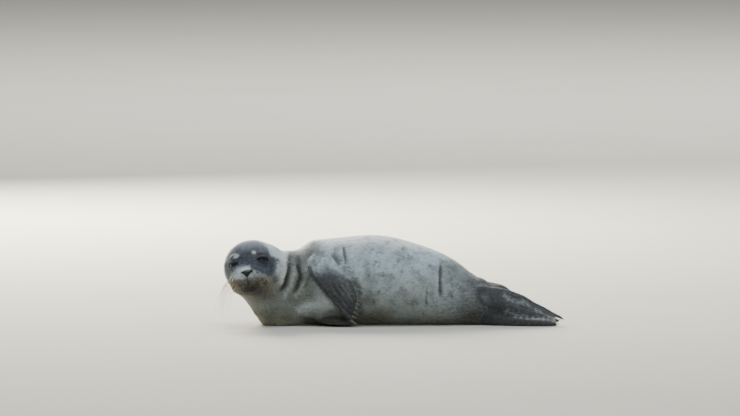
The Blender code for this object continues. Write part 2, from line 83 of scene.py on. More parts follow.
EYE_RADIUS = 0.018
LID_GAP = 0.0007  # between an eyeball and its lids
EYE_DIP = 0.0032  # how far the skin lies below the eyeball's surface inside the slit
EYEBALL_FIT, CORNEA_RISE = 0.985, 0.035  # the eyeball's share of its radius, and the cornea's rise on it
EYE_IN_HEAD = Vector((0.0017, 0.0, 0.0009))  # midway between the eyes, in the head's frame
HEAD_TURN = (
    Matrix.Rotation(math.radians(-97.5), 4, "Z")
    @ Matrix.Rotation(math.radians(-9.0), 4, "Y")
    @ Matrix.Rotation(math.radians(8.0), 4, "X")
)
LID_OPENING = {  # each slit's azimuth, elevation, half length and half height, in degrees from the eye's centre
    "left": (34.0, 10.0, 45.0, 11.5),
    "right": (37.0, -1.0, 44.0, 8.0),
}
NOSE_TOP, NOSE_LOW, NOSE_HALF = -0.0225, -0.043, 0.019  # of the bare nose, in the head's frame
# the nostril and the groove below it are drawn as (y, z), and the lips as (x, y, z)
NOSTRIL = ((0.0022, -0.0392), (0.0058, -0.035), (0.0096, -0.0306), (0.0132, -0.0282), (0.0142, -0.0298))
PHILTRUM = ((0.0, -0.0395), (0.0, -0.05), (0.0, -0.0625))
LIPS = ((0.07, 0.0, -0.0622), (0.068, 0.012, -0.0655), (0.058, 0.025, -0.0665), (0.044, 0.036, -0.0645),
        (0.026, 0.046, -0.0615), (0.01, 0.053, -0.0565))
WHISKER_ROWS = (  # height, the first and last place back along the pad, and how many stand in the row
    (-0.0385, 0.058, 0.036, 4), (-0.0445, 0.06, 0.032, 5), (-0.0505, 0.06, 0.03, 6), (-0.056, 0.056, 0.032, 5),
)
WHISKERS = {1: (0.7, 1.0, 0.0002), -1: (1.34, 1.5, 0.0005)}  # by side: shares of length and droop, and radius
BROW_HAIRS = 5  # over each eye
HAIR_TAPER = 0.78  # how much of its radius a hair loses up to its tip

# Folds and creases on the left side, drawn as seen from that side: (x, z) from end to end, then how
# deep each one is, and how far it reaches towards the head and towards the tail.
FOLDS = {
    "nape": (((-0.293, 0.208), (-0.2918, 0.192), (-0.2903, 0.17), (-0.2916, 0.156), (-0.2958, 0.1425),
              (-0.3, 0.1286), (-0.304, 0.1148), (-0.314, 0.101), (-0.328, 0.09)), 0.009, 0.0048, 0.0085),
    "neck": (((-0.272, 0.192), (-0.2695, 0.172), (-0.2637, 0.156), (-0.2605, 0.1425), (-0.262, 0.1286),
              (-0.266, 0.1148), (-0.2722, 0.101), (-0.2861, 0.087)), 0.0078, 0.0062, 0.0085),
    "neck_low": (((-0.233, 0.158), (-0.236, 0.138), (-0.243, 0.116), (-0.253, 0.094)), 0.003, 0.005, 0.006),
    "flank": (((0.131, 0.196), (0.127, 0.165), (0.125, 0.135), (0.1249, 0.1), (0.1262, 0.066)),
              0.0038, 0.0044, 0.0095),
    "flank_low": (((0.0895, 0.118), (0.0876, 0.085), (0.0865, 0.045)), 0.003, 0.003, 0.004),
    "flank_mid": (((0.108, 0.1), (0.1065, 0.076), (0.1075, 0.05)), 0.0016, 0.0026, 0.003),
    "belly": (((0.08, 0.046), (0.0795, 0.012)), 0.003, 0.0034, 0.0034),
    "shoulder": (((-0.182, 0.206), (-0.168, 0.19), (-0.156, 0.176), (-0.148, 0.164)), 0.003, 0.0062, 0.0075),
    "shoulder_back": (((-0.145, 0.226), (-0.1405, 0.206), (-0.1375, 0.186), (-0.1385, 0.16)),
                      0.003, 0.0052, 0.0072),
    "hip": (((0.176, 0.124), (0.184, 0.092), (0.19, 0.06)), 0.0014, 0.009, 0.011),
    "loin": (((0.15, 0.17), (0.156, 0.14), (0.158, 0.105)), 0.0016, 0.005, 0.005),
}
FLIPPER_ROOTS = {  # where each flipper leaves the body: front and rear edge
    "fore_flipper_left": ((-0.224, -0.1, 0.13), (-0.15, -0.09, 0.162)),
    "fore_flipper_right": ((-0.23, -0.055, 0.021), (-0.19, -0.058, 0.026)),
    "hind_flipper_left": ((0.2456, -0.027, 0.106), (0.2456, -0.049, 0.05)),
    "hind_flipper_right": ((0.2506, -0.059, 0.022), (0.2506, 0.012, 0.04)),
}
DIGIT_SHARES = (0.09, 0.3, 0.51, 0.71, 0.91)  # where the digits start between a root's two edges
TAIL_SWELLS = (  # where the tail's root and the hind edge stand up: place, radius and height
    ((0.242, -0.015, 0.118), 0.017, 0.0085), ((0.3, -0.03, 0.102), 0.03, 0.0045),
    ((0.35, -0.05, 0.08), 0.026, 0.0035), ((0.415, -0.065, 0.05), 0.022, 0.004),
)

# The markings, painted shade and painted highlights on the left side are likewise drawn as (x, z), each with
# its width or radius and its strength.
MASK_BACK = ((-60, -30, -11, 5, 15, 49, 69, 90),  # the angle round the head, and x of the mask's rear edge
             (0.004, -0.0165, -0.0274, -0.0325, -0.02, -0.032, -0.048, -0.066))
MASK_LOW = ((0, 0.012, 0.025, 0.042, 0.058, 0.08),  # across the right cheek, and the mask's lower edge
            (-0.013, -0.013, -0.0115, -0.016, -0.038, -0.048))
BROW_SPOTS = ((0.018, 0.0275, 0.0075, 0.0058), (-0.031, 0.0225, 0.0095, 0.0064))  # y, z, half width and height
DARK_SPOTS = (  # x, z and radius
    (0.049, 0.0658, 0.0105), (0.0434, 0.119, 0.0048), (0.0186, 0.1098, 0.0052), (-0.0063, 0.0681, 0.006),
    (-0.0035, 0.1643, 0.0052), (0.0158, 0.156, 0.0045), (-0.0339, 0.1402, 0.0045), (-0.0559, 0.1778, 0.005),
    (0.0988, 0.1677, 0.005), (-0.0256, 0.1017, 0.005), (-0.329, 0.0817, 0.0065), (-0.2861, 0.0803, 0.0065),
    (-0.2712, 0.1008, 0.005), (0.07, 0.135, 0.004), (0.095, 0.09, 0.005), (-0.06, 0.07, 0.0045),
    (0.155, 0.085, 0.005), (0.2426, 0.0983, 0.01),
)
SCATTERED_SPOTS = 150
# places where the coat is darker, partly its own colour and partly painted shade, as behind and under the fore
# flipper
DARK_AND_SHADED_PLACES = (  # x, z, radius and strength
    (-0.075, 0.074, 0.026, 0.95), (-0.06, 0.035, 0.03, 0.6), (-0.229, 0.219, 0.018, 1.00),
    (-0.153, 0.184, 0.011, 0.85), (-0.164, 0.202, 0.009, 0.5), (-0.24, 0.105, 0.03, 0.85),
    (-0.225, 0.08, 0.016, 0.3), (0.155, 0.15, 0.03, 0.75), (0.142, 0.135, 0.012, 0.4),
    (0.208, 0.148, 0.022, 0.6), (0.255, 0.115, 0.02, 0.7), (0.208, 0.12, 0.018, 0.85),
    (0.086, 0.064, 0.022, 0.35), (-0.025, 0.131, 0.014, 0.35), (-0.28, 0.066, 0.02, 0.35),
    (0.185, 0.13, 0.024, 0.4), (0.04, 0.07, 0.026, 0.5), (0.196, 0.04, 0.036, 0.6),
    (-0.212, 0.192, 0.02, 0.75), (0.1, 0.12, 0.02, 0.2), (-0.01, 0.06, 0.022, 0.22),
    (-0.258, 0.135, 0.013, 0.7), (-0.19, 0.172, 0.018, 0.55), (0.222, 0.104, 0.022, 0.6),
    (0.06, 0.046, 0.02, 0.3), (0.155, 0.048, 0.03, 0.35), (-0.262, 0.045, 0.018, 0.3),
)
SHADED_LINES = (
    (((-0.291, 0.19), (-0.2895, 0.168), (-0.291, 0.15), (-0.2985, 0.128), (-0.31, 0.104)), 0.007, 1.5),
    (((-0.269, 0.186), (-0.265, 0.162), (-0.26, 0.1425), (-0.2645, 0.118), (-0.274, 0.098)), 0.0085, 1.6),
    (((-0.237, 0.162), (-0.221, 0.134), (-0.2105, 0.115), (-0.189, 0.088), (-0.168, 0.063)), 0.006, 1.3),
    (((-0.112, 0.128), (-0.1015, 0.105), (-0.099, 0.08), (-0.096, 0.035)), 0.008, 1.15),
    (((-0.14, 0.163), (-0.123, 0.145), (-0.112, 0.128)), 0.005, 0.9),
    (((-0.14, 0.212), (-0.1385, 0.18)), 0.0055, 0.7),
    (((0.1285, 0.17), (0.128, 0.098)), 0.009, 0.28),
)
# painted highlights on the lit tops between the neck's folds, and one near the fore flipper's rear edge
LIT_RIDGES = (  # the pale tops between folds
    (((-0.2785, 0.158), (-0.2805, 0.1425), (-0.2833, 0.1286), (-0.2875, 0.1148), (-0.2958, 0.101),
      (-0.304, 0.087)), 0.0046, 0.46),
    (((-0.2528, 0.116), (-0.2597, 0.101), (-0.2722, 0.087)), 0.004, 0.34),
    (((-0.152, 0.134), (-0.138, 0.121), (-0.127, 0.108)), 0.005, 0.13),
)
# painted highlights on the chest's bulge, the upper arm, the shoulder, the fore flipper and the ridges of the
# hind flippers, and a soft pale patch at the hip
PALE_AND_HIGHLIGHT_LINES = (  # (x, y, z) along a line where the coat is paler
    (((-0.262, -0.085, 0.045), (-0.238, -0.091, 0.057), (-0.21, -0.088, 0.065), (-0.18, -0.089, 0.065)),
     0.014, 0.7),
    (((0.246, -0.067, 0.08), (0.254, -0.062, 0.066)), 0.0085, 0.16),
    (((0.306, -0.064, 0.082), (0.337, -0.064, 0.066), (0.36, -0.056, 0.062)), 0.0065, 0.3),
    (((0.356, -0.055, 0.068), (0.39, -0.064, 0.048), (0.43, -0.074, 0.028)), 0.005, 0.34),
    (((0.309, -0.062, 0.04), (0.356, -0.071, 0.024), (0.4, -0.075, 0.02), (0.441, -0.077, 0.018)),
     0.006, 0.55),
    (((-0.176, -0.092, 0.172), (-0.15, -0.1, 0.158), (-0.13, -0.104, 0.138)), 0.005, 0.4),
    (((-0.156, -0.122, 0.128), (-0.14, -0.124, 0.11), (-0.124, -0.122, 0.09)), 0.008, 0.14),
    (((-0.1445, -0.08, 0.215), (-0.143, -0.086, 0.196)), 0.003, 0.6),
)
ZONES = ("mask", "pale", "chin", "brown", "shade", "slate", "spots", "ink", "cavity", "groove", "bare")

TUFTS = 400000
TUFTS_IN_PIECE = 60000
TUFT_SIZES = (  # length, width, height: on the body, less on the head, less still on the face, on a flipper
    (0.009, 0.0036, 0.0022, 0.0046), (0.00105, 0.00025, 0.00018, 0.0007), (0.0011, 0.0004, 0.0003, 0.0004),
)
TUFT_ROOT = 0.0003  # how deep a tuft stands in the skin
COAT_NAMES = ("coat_neck", "coat_shoulder", "coat_trunk", "coat_rump", "coat_head", "coat_flippers")
COAT_SPLITS = (-0.235, -0.085, 0.08)  # x between the coats of neck, shoulder, trunk and rump
FAR_SIDE = 0.045  # y from which a tuft is on the far side
PATCH = 0.0015  # half the side of a tuft's patch on the unwrap

TARGET = Vector((-0.067, 0.0341, 0.319))  # what the camera looks at
ELEVATION = math.radians(4.0)
DISTANCE = 22.8
FLOOR_RADIUS = 26.0
FLOOR_RIM = (  # outwards and upwards
    (1.06, 0.1), (1.045, 0.35), (1.03, 0.7), (1.018, 1.1), (1.006, 1.6), (1.0, 3.0),
)


# ---------------------------------------------------------------- small helpers
def only(*objects):
    """Selects these objects and nothing else, the first one active."""
    bpy.ops.object.select_all(action="DESELECT")
    for obj in objects:
        obj.select_set(True)
        bpy.context.view_layer.objects.active = objects[0]


def edit(obj, kind="VERT", action="SELECT"):
    """Opens obj in edit mode with all of it selected, or with DESELECT nothing."""
    only(obj)
    bpy.ops.object.mode_set(mode="EDIT")
    bpy.ops.mesh.select_mode(type=kind)
    bpy.ops.mesh.select_all(action=action)


def edit_chosen(obj, kind, items, chosen):
    """Opens obj in edit mode with only the chosen points or faces selected."""
    edit(obj, kind, "DESELECT")
    close()
    items.foreach_set("select", chosen)
    bpy.ops.object.mode_set(mode="EDIT")


def edit_faces(obj, chosen):
    """Opens obj in edit mode with the faces selected whose points are all chosen."""
    corners = column(obj.data.loops, "vertex_index", 1, np.int32)
    starts = column(obj.data.polygons, "loop_start", 1, np.int32)
    edit_chosen(obj, "FACE", obj.data.polygons, np.logical_and.reduceat(chosen[corners], starts))


def close():
    bpy.ops.object.mode_set(mode="OBJECT")


def refine(obj, chosen):
    edit_faces(obj, chosen)
    bpy.ops.mesh.subdivide(number_cuts=1, smoothness=0.0)
    close()


def smooth_shaded(obj):
    only(obj)
    bpy.ops.object.shade_smooth()
    return obj


def modified(obj, kind, **settings):
    """obj with one modifier applied."""
    only(obj)
    modifier = obj.modifiers.new(kind.lower(), kind)
    for name, value in settings.items():
        setattr(modifier, name, value)
    bpy.ops.object.modifier_apply(modifier=modifier.name)
    return obj


def added(name, data):
    """A new object in the scene with this data."""
    obj = bpy.data.objects.new(name, data)
    bpy.context.scene.collection.objects.link(obj)
    return obj


def copied(names, label):
    """One object with copies of these CAD nodes' meshes, joined, with their doubles merged."""
    copies = [added(label, nodes[name].data.copy()) for name in names]
    for copy in copies:
        copy.data.materials.clear()
    only(*copies)
    if len(copies) > 1:
        bpy.ops.object.join()
    joined = bpy.context.view_layer.objects.active
    edit(joined)
    bpy.ops.mesh.remove_doubles(threshold=0.00001)
    close()
    joined.name = joined.data.name = label
    return joined


def column(items, name, width=1, kind=np.float32):
    """One property of all these items of a mesh, in rows of this width."""
    found = np.empty(len(items) * width, kind)
    items.foreach_get(name, found)
    return found if width == 1 else found.reshape(-1, width)


def places(mesh):
    return column(mesh.vertices, "co", 3).astype(float)


def normals(mesh):
    return column(mesh.vertices, "normal", 3).astype(float)


def edges_of(mesh):
    return column(mesh.edges, "vertices", 2, np.int32)


def values_of(mesh, name):
    return column(mesh.attributes[name].data, "value").astype(float)


def limb_weights(mesh):
    """How far each point belongs to each flipper and to the tail."""
    return {name: values_of(mesh, name) for name in LIMBS}


def note(mesh, **notes):
    """Keeps these values with the mesh's points, under their names."""
    for name, values in notes.items():
        made = mesh.attributes.get(name) or mesh.attributes.new(name, "FLOAT", "POINT")
        made.data.foreach_set("value", np.asarray(values, np.float32))


def move_to(mesh, points):
    mesh.vertices.foreach_set("co", points.ravel())
    mesh.update()


def surface_of(mesh, points):
    """The mesh as a surface to search, its points at these places."""
    return BVHTree.FromPolygons(
        [Vector(point) for point in points], [list(polygon.vertices) for polygon in mesh.polygons]
    )


def step(low, high, value):
    """0 below low and 1 above high, smooth in between. It also runs downwards, with low above high."""
    t = np.clip((value - low) / (high - low), 0, 1)
    return t * t * (3 - 2 * t)


def window(value, low, rise, fall, high):
    """1 from rise to fall, and down to 0 at low and high."""
    return step(low, rise, value) * step(high, fall, value)


def bell(distance, width):
    return np.exp(-((distance / width) ** 2))


def unit(vectors):
    return vectors / np.maximum(np.linalg.norm(vectors, axis=-1, keepdims=True), 1e-12)


def distance_to(place, points):
    return np.linalg.norm(points - np.array(place), axis=1)


def pushed(points, out, amount):
    """The points moved outwards, each by its own amount."""
    return points + out * amount[:, None]


def centre_of(node):
    low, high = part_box(node)
    return (Vector(low) + Vector(high)) / 2


def averaged(values, edges):
    """The mean of the neighbouring points' values."""
    count = np.maximum(np.bincount(edges.ravel(), minlength=len(values)), 1)
    sums = [
        np.bincount(edges[:, 0], part[edges[:, 1]], len(values))
        + np.bincount(edges[:, 1], part[edges[:, 0]], len(values))
        for part in values.reshape(len(values), -1).T
    ]
    return (np.array(sums) / count).T.reshape(values.shape)


def spread(values, edges, rounds):
    """values averaged with those of the neighbouring points, a number of times."""
    for _ in range(rounds):
        values = 0.5 * values + 0.5 * averaged(values, edges)
    return values


def relaxed(points, edges, rounds):
    """The points with their facets smoothed away and their bulk kept."""
    for pull in (0.5, -0.52) * rounds:
        points = points + pull * (averaged(points, edges) - points)
    return points


def mottle(points, size, seed):
    """A soft irregular pattern over space, about -2 to 2, in patches of this size."""
    waves = np.random.default_rng(seed)
    total = 0
    for _ in range(7):
        way = unit(waves.normal(size=3)) * 2 * math.pi / size * waves.uniform(0.7, 1.5)
        total = total + np.sin(points @ way + waves.uniform(0, 7))
    return total / 1.87  # the usual size of the waves' sum


def to_line(points, line):
    """Distance of each point from a line of points, and how far along it the nearest place is, 0 to 1."""
    line = np.asarray(line, float)
    best, along = np.full(len(points), 1e9), np.zeros(len(points))
    for i, (a, b) in enumerate(zip(line, line[1:])):
        span = b - a
        t = np.clip((points - a) @ span / (span @ span), 0, 1)
        distance = np.linalg.norm(points - a - t[:, None] * span, axis=1)
        nearer = distance < best
        best[nearer] = distance[nearer]
        along[nearer] = (i + t[nearer]) / (len(line) - 1)
    return best, along


def curve_through(knots, count):
    """count points on a smooth curve through the knots."""
    knots = np.asarray(knots, float)
    ends = np.concatenate([[2 * knots[0] - knots[1]], knots, [2 * knots[-1] - knots[-2]]])
    found = []
    for place in np.linspace(0, len(knots) - 1, count):
        start = min(int(place), len(knots) - 2)
        t = place - start
        a, b, c, d = ends[start : start + 4]
        bend = (2 * a - 5 * b + 4 * c - d) * t**2 + (3 * b - a - 3 * c + d) * t**3
        found.append(0.5 * (2 * b + (c - a) * t + bend))
    return np.array(found)


def moved(points, matrix):
    matrix = np.array(matrix)
    return points @ matrix[:3, :3].T + matrix[:3, 3]


eye_centres = {side: centre_of("eye_" + side) for side in ("left", "right")}
HEAD = (
    Matrix.Translation((eye_centres["left"] + eye_centres["right"]) / 2)
    @ HEAD_TURN
    @ Matrix.Translation(-EYE_IN_HEAD)
)
TO_HEAD = HEAD.inverted()
NOSE_TIP = np.array(HEAD @ Vector((0.068, 0.0, -0.035)))


# ---------------------------------------------------------------- the skin's body
def whole_skin():
    """All the flesh as one closed surface. Each point notes how far it belongs to a flipper or the tail."""
    skin = copied((*FLESH, "eye_left", "eye_right"), "skin")
    modified(skin, "REMESH", mode="VOXEL", voxel_size=SKIN_GRAIN)
    mesh = skin.data
    tree_faces, tree_points, owners = [], [], []
    for index, name in enumerate(FLESH):
        solid, start = nodes[name].data, len(tree_points)
        tree_points += [vertex.co.copy() for vertex in solid.vertices]
        tree_faces += [[start + i for i in polygon.vertices] for polygon in solid.polygons]
        owners += [index] * len(solid.polygons)
    tree = BVHTree.FromPolygons(tree_points, tree_faces)
    owner = np.array([owners[tree.find_nearest(vertex.co)[2]] for vertex in mesh.vertices])
    edges, points = edges_of(mesh), places(mesh)
    limb = spread((owner >= FLESH.index(FLIPPERS[0])).astype(float), edges, 3)[:, None]
    points = relaxed(points, edges, BODY_ROUNDS) * (1 - limb) + relaxed(points, edges, LIMB_ROUNDS) * limb
    move_to(mesh, points)
    note(mesh, **{name: spread((owner == FLESH.index(name)).astype(float), edges, 5) for name in LIMBS})
    edit_faces(skin, (points[:, 1] > 0.05) & (points[:, 0] > -0.24) & (points[:, 0] < 0.2))
    bpy.ops.mesh.decimate(ratio=FAR_SHARE)
    close()
    return skin


def unwrap(skin):
    """The skin's own unwrap. The coat's patches lie at their roots' places on it."""
    edit(skin)
    bpy.ops.uv.smart_project(angle_limit=math.radians(66), island_margin=0.004)
    close()


def refine_skin(skin):
    """Finer skin on the face and the flippers, and finest at the eyes, the nose and the mouth."""
    x, y, z = moved(places(skin.data), TO_HEAD).T
    limb = sum(values_of(skin.data, name) for name in FLIPPERS)
    refine(skin, (x > -0.055) & (np.abs(y) < 0.095) & (z > -0.1) | (limb > 0.45))
    for reach, front in ((0.0225, 0.04), (0.016, 0.047)):
        points = moved(places(skin.data), TO_HEAD)
        x, y, z = points.T
        finest = (x > front) & (z > -0.073) & (z < -0.016) & (np.abs(y) < 0.032)
        for sign in BOTH:
            finest |= distance_to((0.016, sign * 0.043, 0.004), points) < reach
        refine(skin, finest)


# ---------------------------------------------------------------- sculpting
def opened_eyes(points, bare, dark):
    """Lids that lie on each eyeball and part in a narrow slit. Inside it the skin dips behind the eye."""
    for side, sign in zip(("left", "right"), BOTH):
        azimuth, elevation, half_length, half_height = (math.radians(value) for value in LID_OPENING[side])
        centre = np.array(TO_HEAD @ eye_centres[side])
        from_eye = points - centre
        radius = np.linalg.norm(from_eye, axis=1)
        near = (radius < 0.034) & (from_eye[:, 0] > -0.012)
        along = (np.arctan2(sign * from_eye[:, 1], from_eye[:, 0]) - azimuth) / half_length
        height = np.arcsin(np.clip(from_eye[:, 2] / np.maximum(radius, 1e-6), -1, 1))
        across = (height - (elevation - 0.06 * along)) * EYE_RADIUS
        above, below, along = across > 0, across < 0, np.abs(along)
        half = half_height * EYE_RADIUS * np.clip(1 - along**2, 0, 1) ** 0.62 * np.where(above, 1.12, 0.88)
        beyond = np.clip(along - 1, 0, None) * half_length * EYE_RADIUS
        # distance from the slit's edge, below 0 inside it
        outside = np.where(beyond > 0, np.hypot(across, beyond), np.abs(across) - half)
        lid = EYE_RADIUS + LID_GAP + 0.0017 * step(0.0, 0.0045, outside)
        lid += 0.0008 * bell(outside - 0.004, 0.0022) * above + 0.0008 * bell(outside - 0.0032, 0.0018) * below
        target = np.where(outside < 0, EYE_RADIUS + LID_GAP - EYE_DIP * step(0, -0.0016, outside), lid)
        higher = np.maximum(radius, target)
        blend = step(0.0045, 0.0085, outside)
        goal = np.where(outside < 0.0045, target, higher) * (1 - blend) + higher * blend
        new_radius = radius + (goal - radius) * step(0.0165, 0.0085, outside) * near
        # creases above and below the lids
        new_radius -= near * 0.001 * bell(outside - 0.008, 0.0017) * above * step(1.25, 0.9, along)
        new_radius -= near * 0.0008 * bell(outside - 0.0064, 0.0015) * below * step(1.2, 0.8, along)
        points = pushed(centre, from_eye, new_radius / np.maximum(radius, 1e-6))
        bare = np.maximum(bare, near * step(0.0012, 0.0004, outside))
        # the slit's rim and corners darker: dark skin, with painted shade round the eye
        corner = np.hypot(across * 1.6, np.clip(along - 0.92, 0, None) * half_length * EYE_RADIUS)
        rim = step(0.0042, 0.0008, outside) + 0.9 * step(0.0066, 0.001, corner)
        dark = np.maximum(dark, near * np.clip(rim, 0, 1) * (1.0 if side == "left" else 0.8))
    return points, bare, dark


def nose_pad(points):
    """How deep inside the outline of the bare nose each point lies, in metres. It is below 0 outside."""
    y, z = np.abs(points[:, 1]), points[:, 2]
    high = NOSE_TOP - NOSE_LOW
    side = (NOSE_HALF * (z - NOSE_LOW) / high - y) * high / math.hypot(high, NOSE_HALF)
    top = NOSE_TOP + 0.0014 * np.cos(np.clip(y / NOSE_HALF, 0, 1) * math.pi) - z
    inside = -np.log(np.exp(-side * 900) + np.exp(-top * 900)) / 900 + 0.0006
    return np.where(points[:, 0] > 0.036, inside, -1.0)


def whisker_roots():
    """Row, number in the row, and place on the left pad of each whisker, in the head's frame."""
    for row, (height, first, last, count) in enumerate(WHISKER_ROWS):
        for number in range(count):
            x = first + (last - first) * number / (count - 1)
            y = 0.0215 + (0.06 - x) * 0.86  # the pad widens backwards
            yield row, number, (x, y + 0.0012 * (row % 2), height)


def shaped_muzzle(points, out, bare, dark):
    """Nostrils, the groove below the nose, the line of the lips, dimples for the whiskers, and the ears."""
    y, z = np.abs(points[:, 1]), points[:, 2]
    inside = nose_pad(points)
    front = step(0.03, 0.04, points[:, 0])
    points = pushed(points, out, 0.001 * step(-0.0004, 0.0012, inside))
    for sign in BOTH:
        distance, along = to_line(points[:, 1:], curve_through(np.array(NOSTRIL) * (sign, 1), 14))
        depth = 0.0044 * step(0, 0.25, along) * step(1.05, 0.75, along)
        points = pushed(points, out, -front * depth * bell(distance, 0.00125 + 0.0006 * along))
        points = pushed(points, out, front * 0.0008 * bell(distance - 0.0026, 0.0012) * (inside > 0))
        # painted shade in the nostril
        dark = np.maximum(dark, front * bell(distance, 0.002))
    distance, _ = to_line(points[:, 1:], curve_through(PHILTRUM, 8))
    points = pushed(points, out, -front * 0.0026 * bell(distance, 0.0013))
    # painted shade in the groove below the nose
    dark = np.maximum(dark, 0.95 * front * bell(distance, 0.0014))
    for sign in BOTH:
        distance, along = to_line(points, curve_through(np.array(LIPS) * (1, sign, 1), 20))
        sideways = step(0.0, 0.02, sign * points[:, 1] + 0.004)
        pressed = bell(distance, 0.002 + 0.0035 * step(0.5, 0.0, along)) * sideways
        points = pushed(points, out, -0.0042 * pressed * step(1.0, 0.7, along))
        # painted shade along the line of the lips
        dark = np.maximum(dark, 0.5 * bell(distance, 0.0026) * sideways * step(1.0, 0.6, along))
    jaw = step(-0.0655, -0.07, z) * step(0.02, 0.045, points[:, 0]) * step(0.04, 0.02, y)
    points = points - np.array([0.0035, 0, 0]) * jaw[:, None]
    bare = np.maximum(bare, step(-0.0002, 0.0006, inside))
    for _, _, (root_x, root_y, height) in whisker_roots():
        for sign in BOTH:
            distance = distance_to((root_x, sign * root_y, height), points)
            points = pushed(points, out, -0.0007 * bell(distance, 0.0012))
            # dark spots at the whisker roots, with painted shade in their dimples
            dark = np.maximum(dark, 0.45 * bell(distance, 0.0011))
    for sign in BOTH:  # the ears are small openings behind the eyes
        ear = points[distance_to((-0.031, sign * 0.072, 0.004), points).argmin()]
        distance = np.linalg.norm((points - ear) * (1.0, 0.7, 0.6), axis=1)
        points = pushed(points, out, 0.0005 * bell(distance - 0.0052, 0.002) - 0.005 * bell(distance, 0.0026))
        # painted shade in the ear opening
        dark = np.maximum(dark, 0.95 * bell(distance, 0.003))
    return points, bare, dark


def on_left(surface, pairs):
    """The places on the left side of the surface at these (x, z)."""
    hits = [surface.ray_cast(Vector((x, -1.0, z)), Vector((0, 1, 0)))[0] for x, z in pairs]
    return np.array([hit for hit in hits if hit is not None])


def folded(points, out, surface):
    """Presses the folds and creases in. Returns the points, and how deep in a fold each one lies."""
    cavity, crest = np.zeros(len(points)), np.zeros(len(points))
    for pairs, depth, ahead, behind in FOLDS.values():
        line = curve_through(on_left(surface, curve_through(pairs, 14)), 40)
        distance, along = to_line(points, line)
        nearest_x = np.interp(along, np.linspace(0, 1, len(line)), line[:, 0])
        side = step(-0.002, 0.002, points[:, 0] - nearest_x)
        width = (ahead + (behind - ahead) * side) * (1 + 0.12 * mottle(points, 0.03, 4))
        fade = window(along, 0.0, 0.25, 0.75, 1.0)
        pressed, pillow = fade * bell(distance, width), fade * bell(distance - 2.3 * width, 1.2 * width)
        points = pushed(points, out, depth * (0.14 * pillow - pressed))
        cavity = np.maximum(cavity, pressed * min(1.0, depth / 0.004))
        crest = np.maximum(crest, pillow * min(1.0, depth / 0.005))
    return points, cavity - 0.8 * crest * (1 - cavity)


def digits(name):
    """The five straight lines along which a flipper's digits run."""
    limb, side = name.split("_flipper_")
    front, rear = (np.array(corner) for corner in FLIPPER_ROOTS[name])
    tips = [np.array(centre_of(f"{limb}_claw_{side}_{number}")) for number in range(1, 6)]
    return [(front + (rear - front) * share, tip) for share, tip in zip(DIGIT_SHARES, tips)]


def ridged_flippers(points, out, weights):
    """Digits stand out along the flippers, with grooves between them. Returns the grooves, less the ridges."""
    groove = np.zeros(len(points))
    for name in FLIPPERS:
        weight, lines = weights[name], digits(name)
        (first, first_tip), (last, last_tip) = lines[0], lines[-1]
        face = unit(np.cross(last - first + last_tip - first_tip, first_tip - first + last_tip - last))
        flat = points - (points @ face)[:, None] * face
        flat_lines = [[place - (place @ face) * face for place in line] for line in lines]
        # the flipper thins out towards its end, about the plane of its digits
        level, share, reach = 0.0, 1e-9, 0.0
        for (root, tip), flat_line in zip(lines, flat_lines):
            distance, along = to_line(flat, flat_line)
            near = bell(distance, 0.012)
            level = level + near * (root @ face + along * ((tip - root) @ face))
            share, reach = share + near, reach + near * along
        thin = weight * 0.5 * step(0.74, 1.0, reach / share) * np.clip(share, 0, 1)
        points = pushed(points, face, (level / share - points @ face) * thin)
        for line in flat_lines:
            distance, along = to_line(flat, line)
            raised = weight * step(0.1, 0.45, along) * bell(distance, 0.0036)
            points = pushed(points, out, 0.0007 * raised)
            groove = groove - 0.8 * raised
        for line, following in zip(flat_lines, flat_lines[1:]):
            distance, along = to_line(flat, (np.array(line) + following) / 2)
            pressed = weight * step(0.15, 0.5, along) * bell(distance, 0.0034)
            points = pushed(points, out, -0.0017 * (1 - 0.35 * along) * pressed)
            groove = groove + 1.2 * pressed
    return points, np.clip(groove, -1, 1)


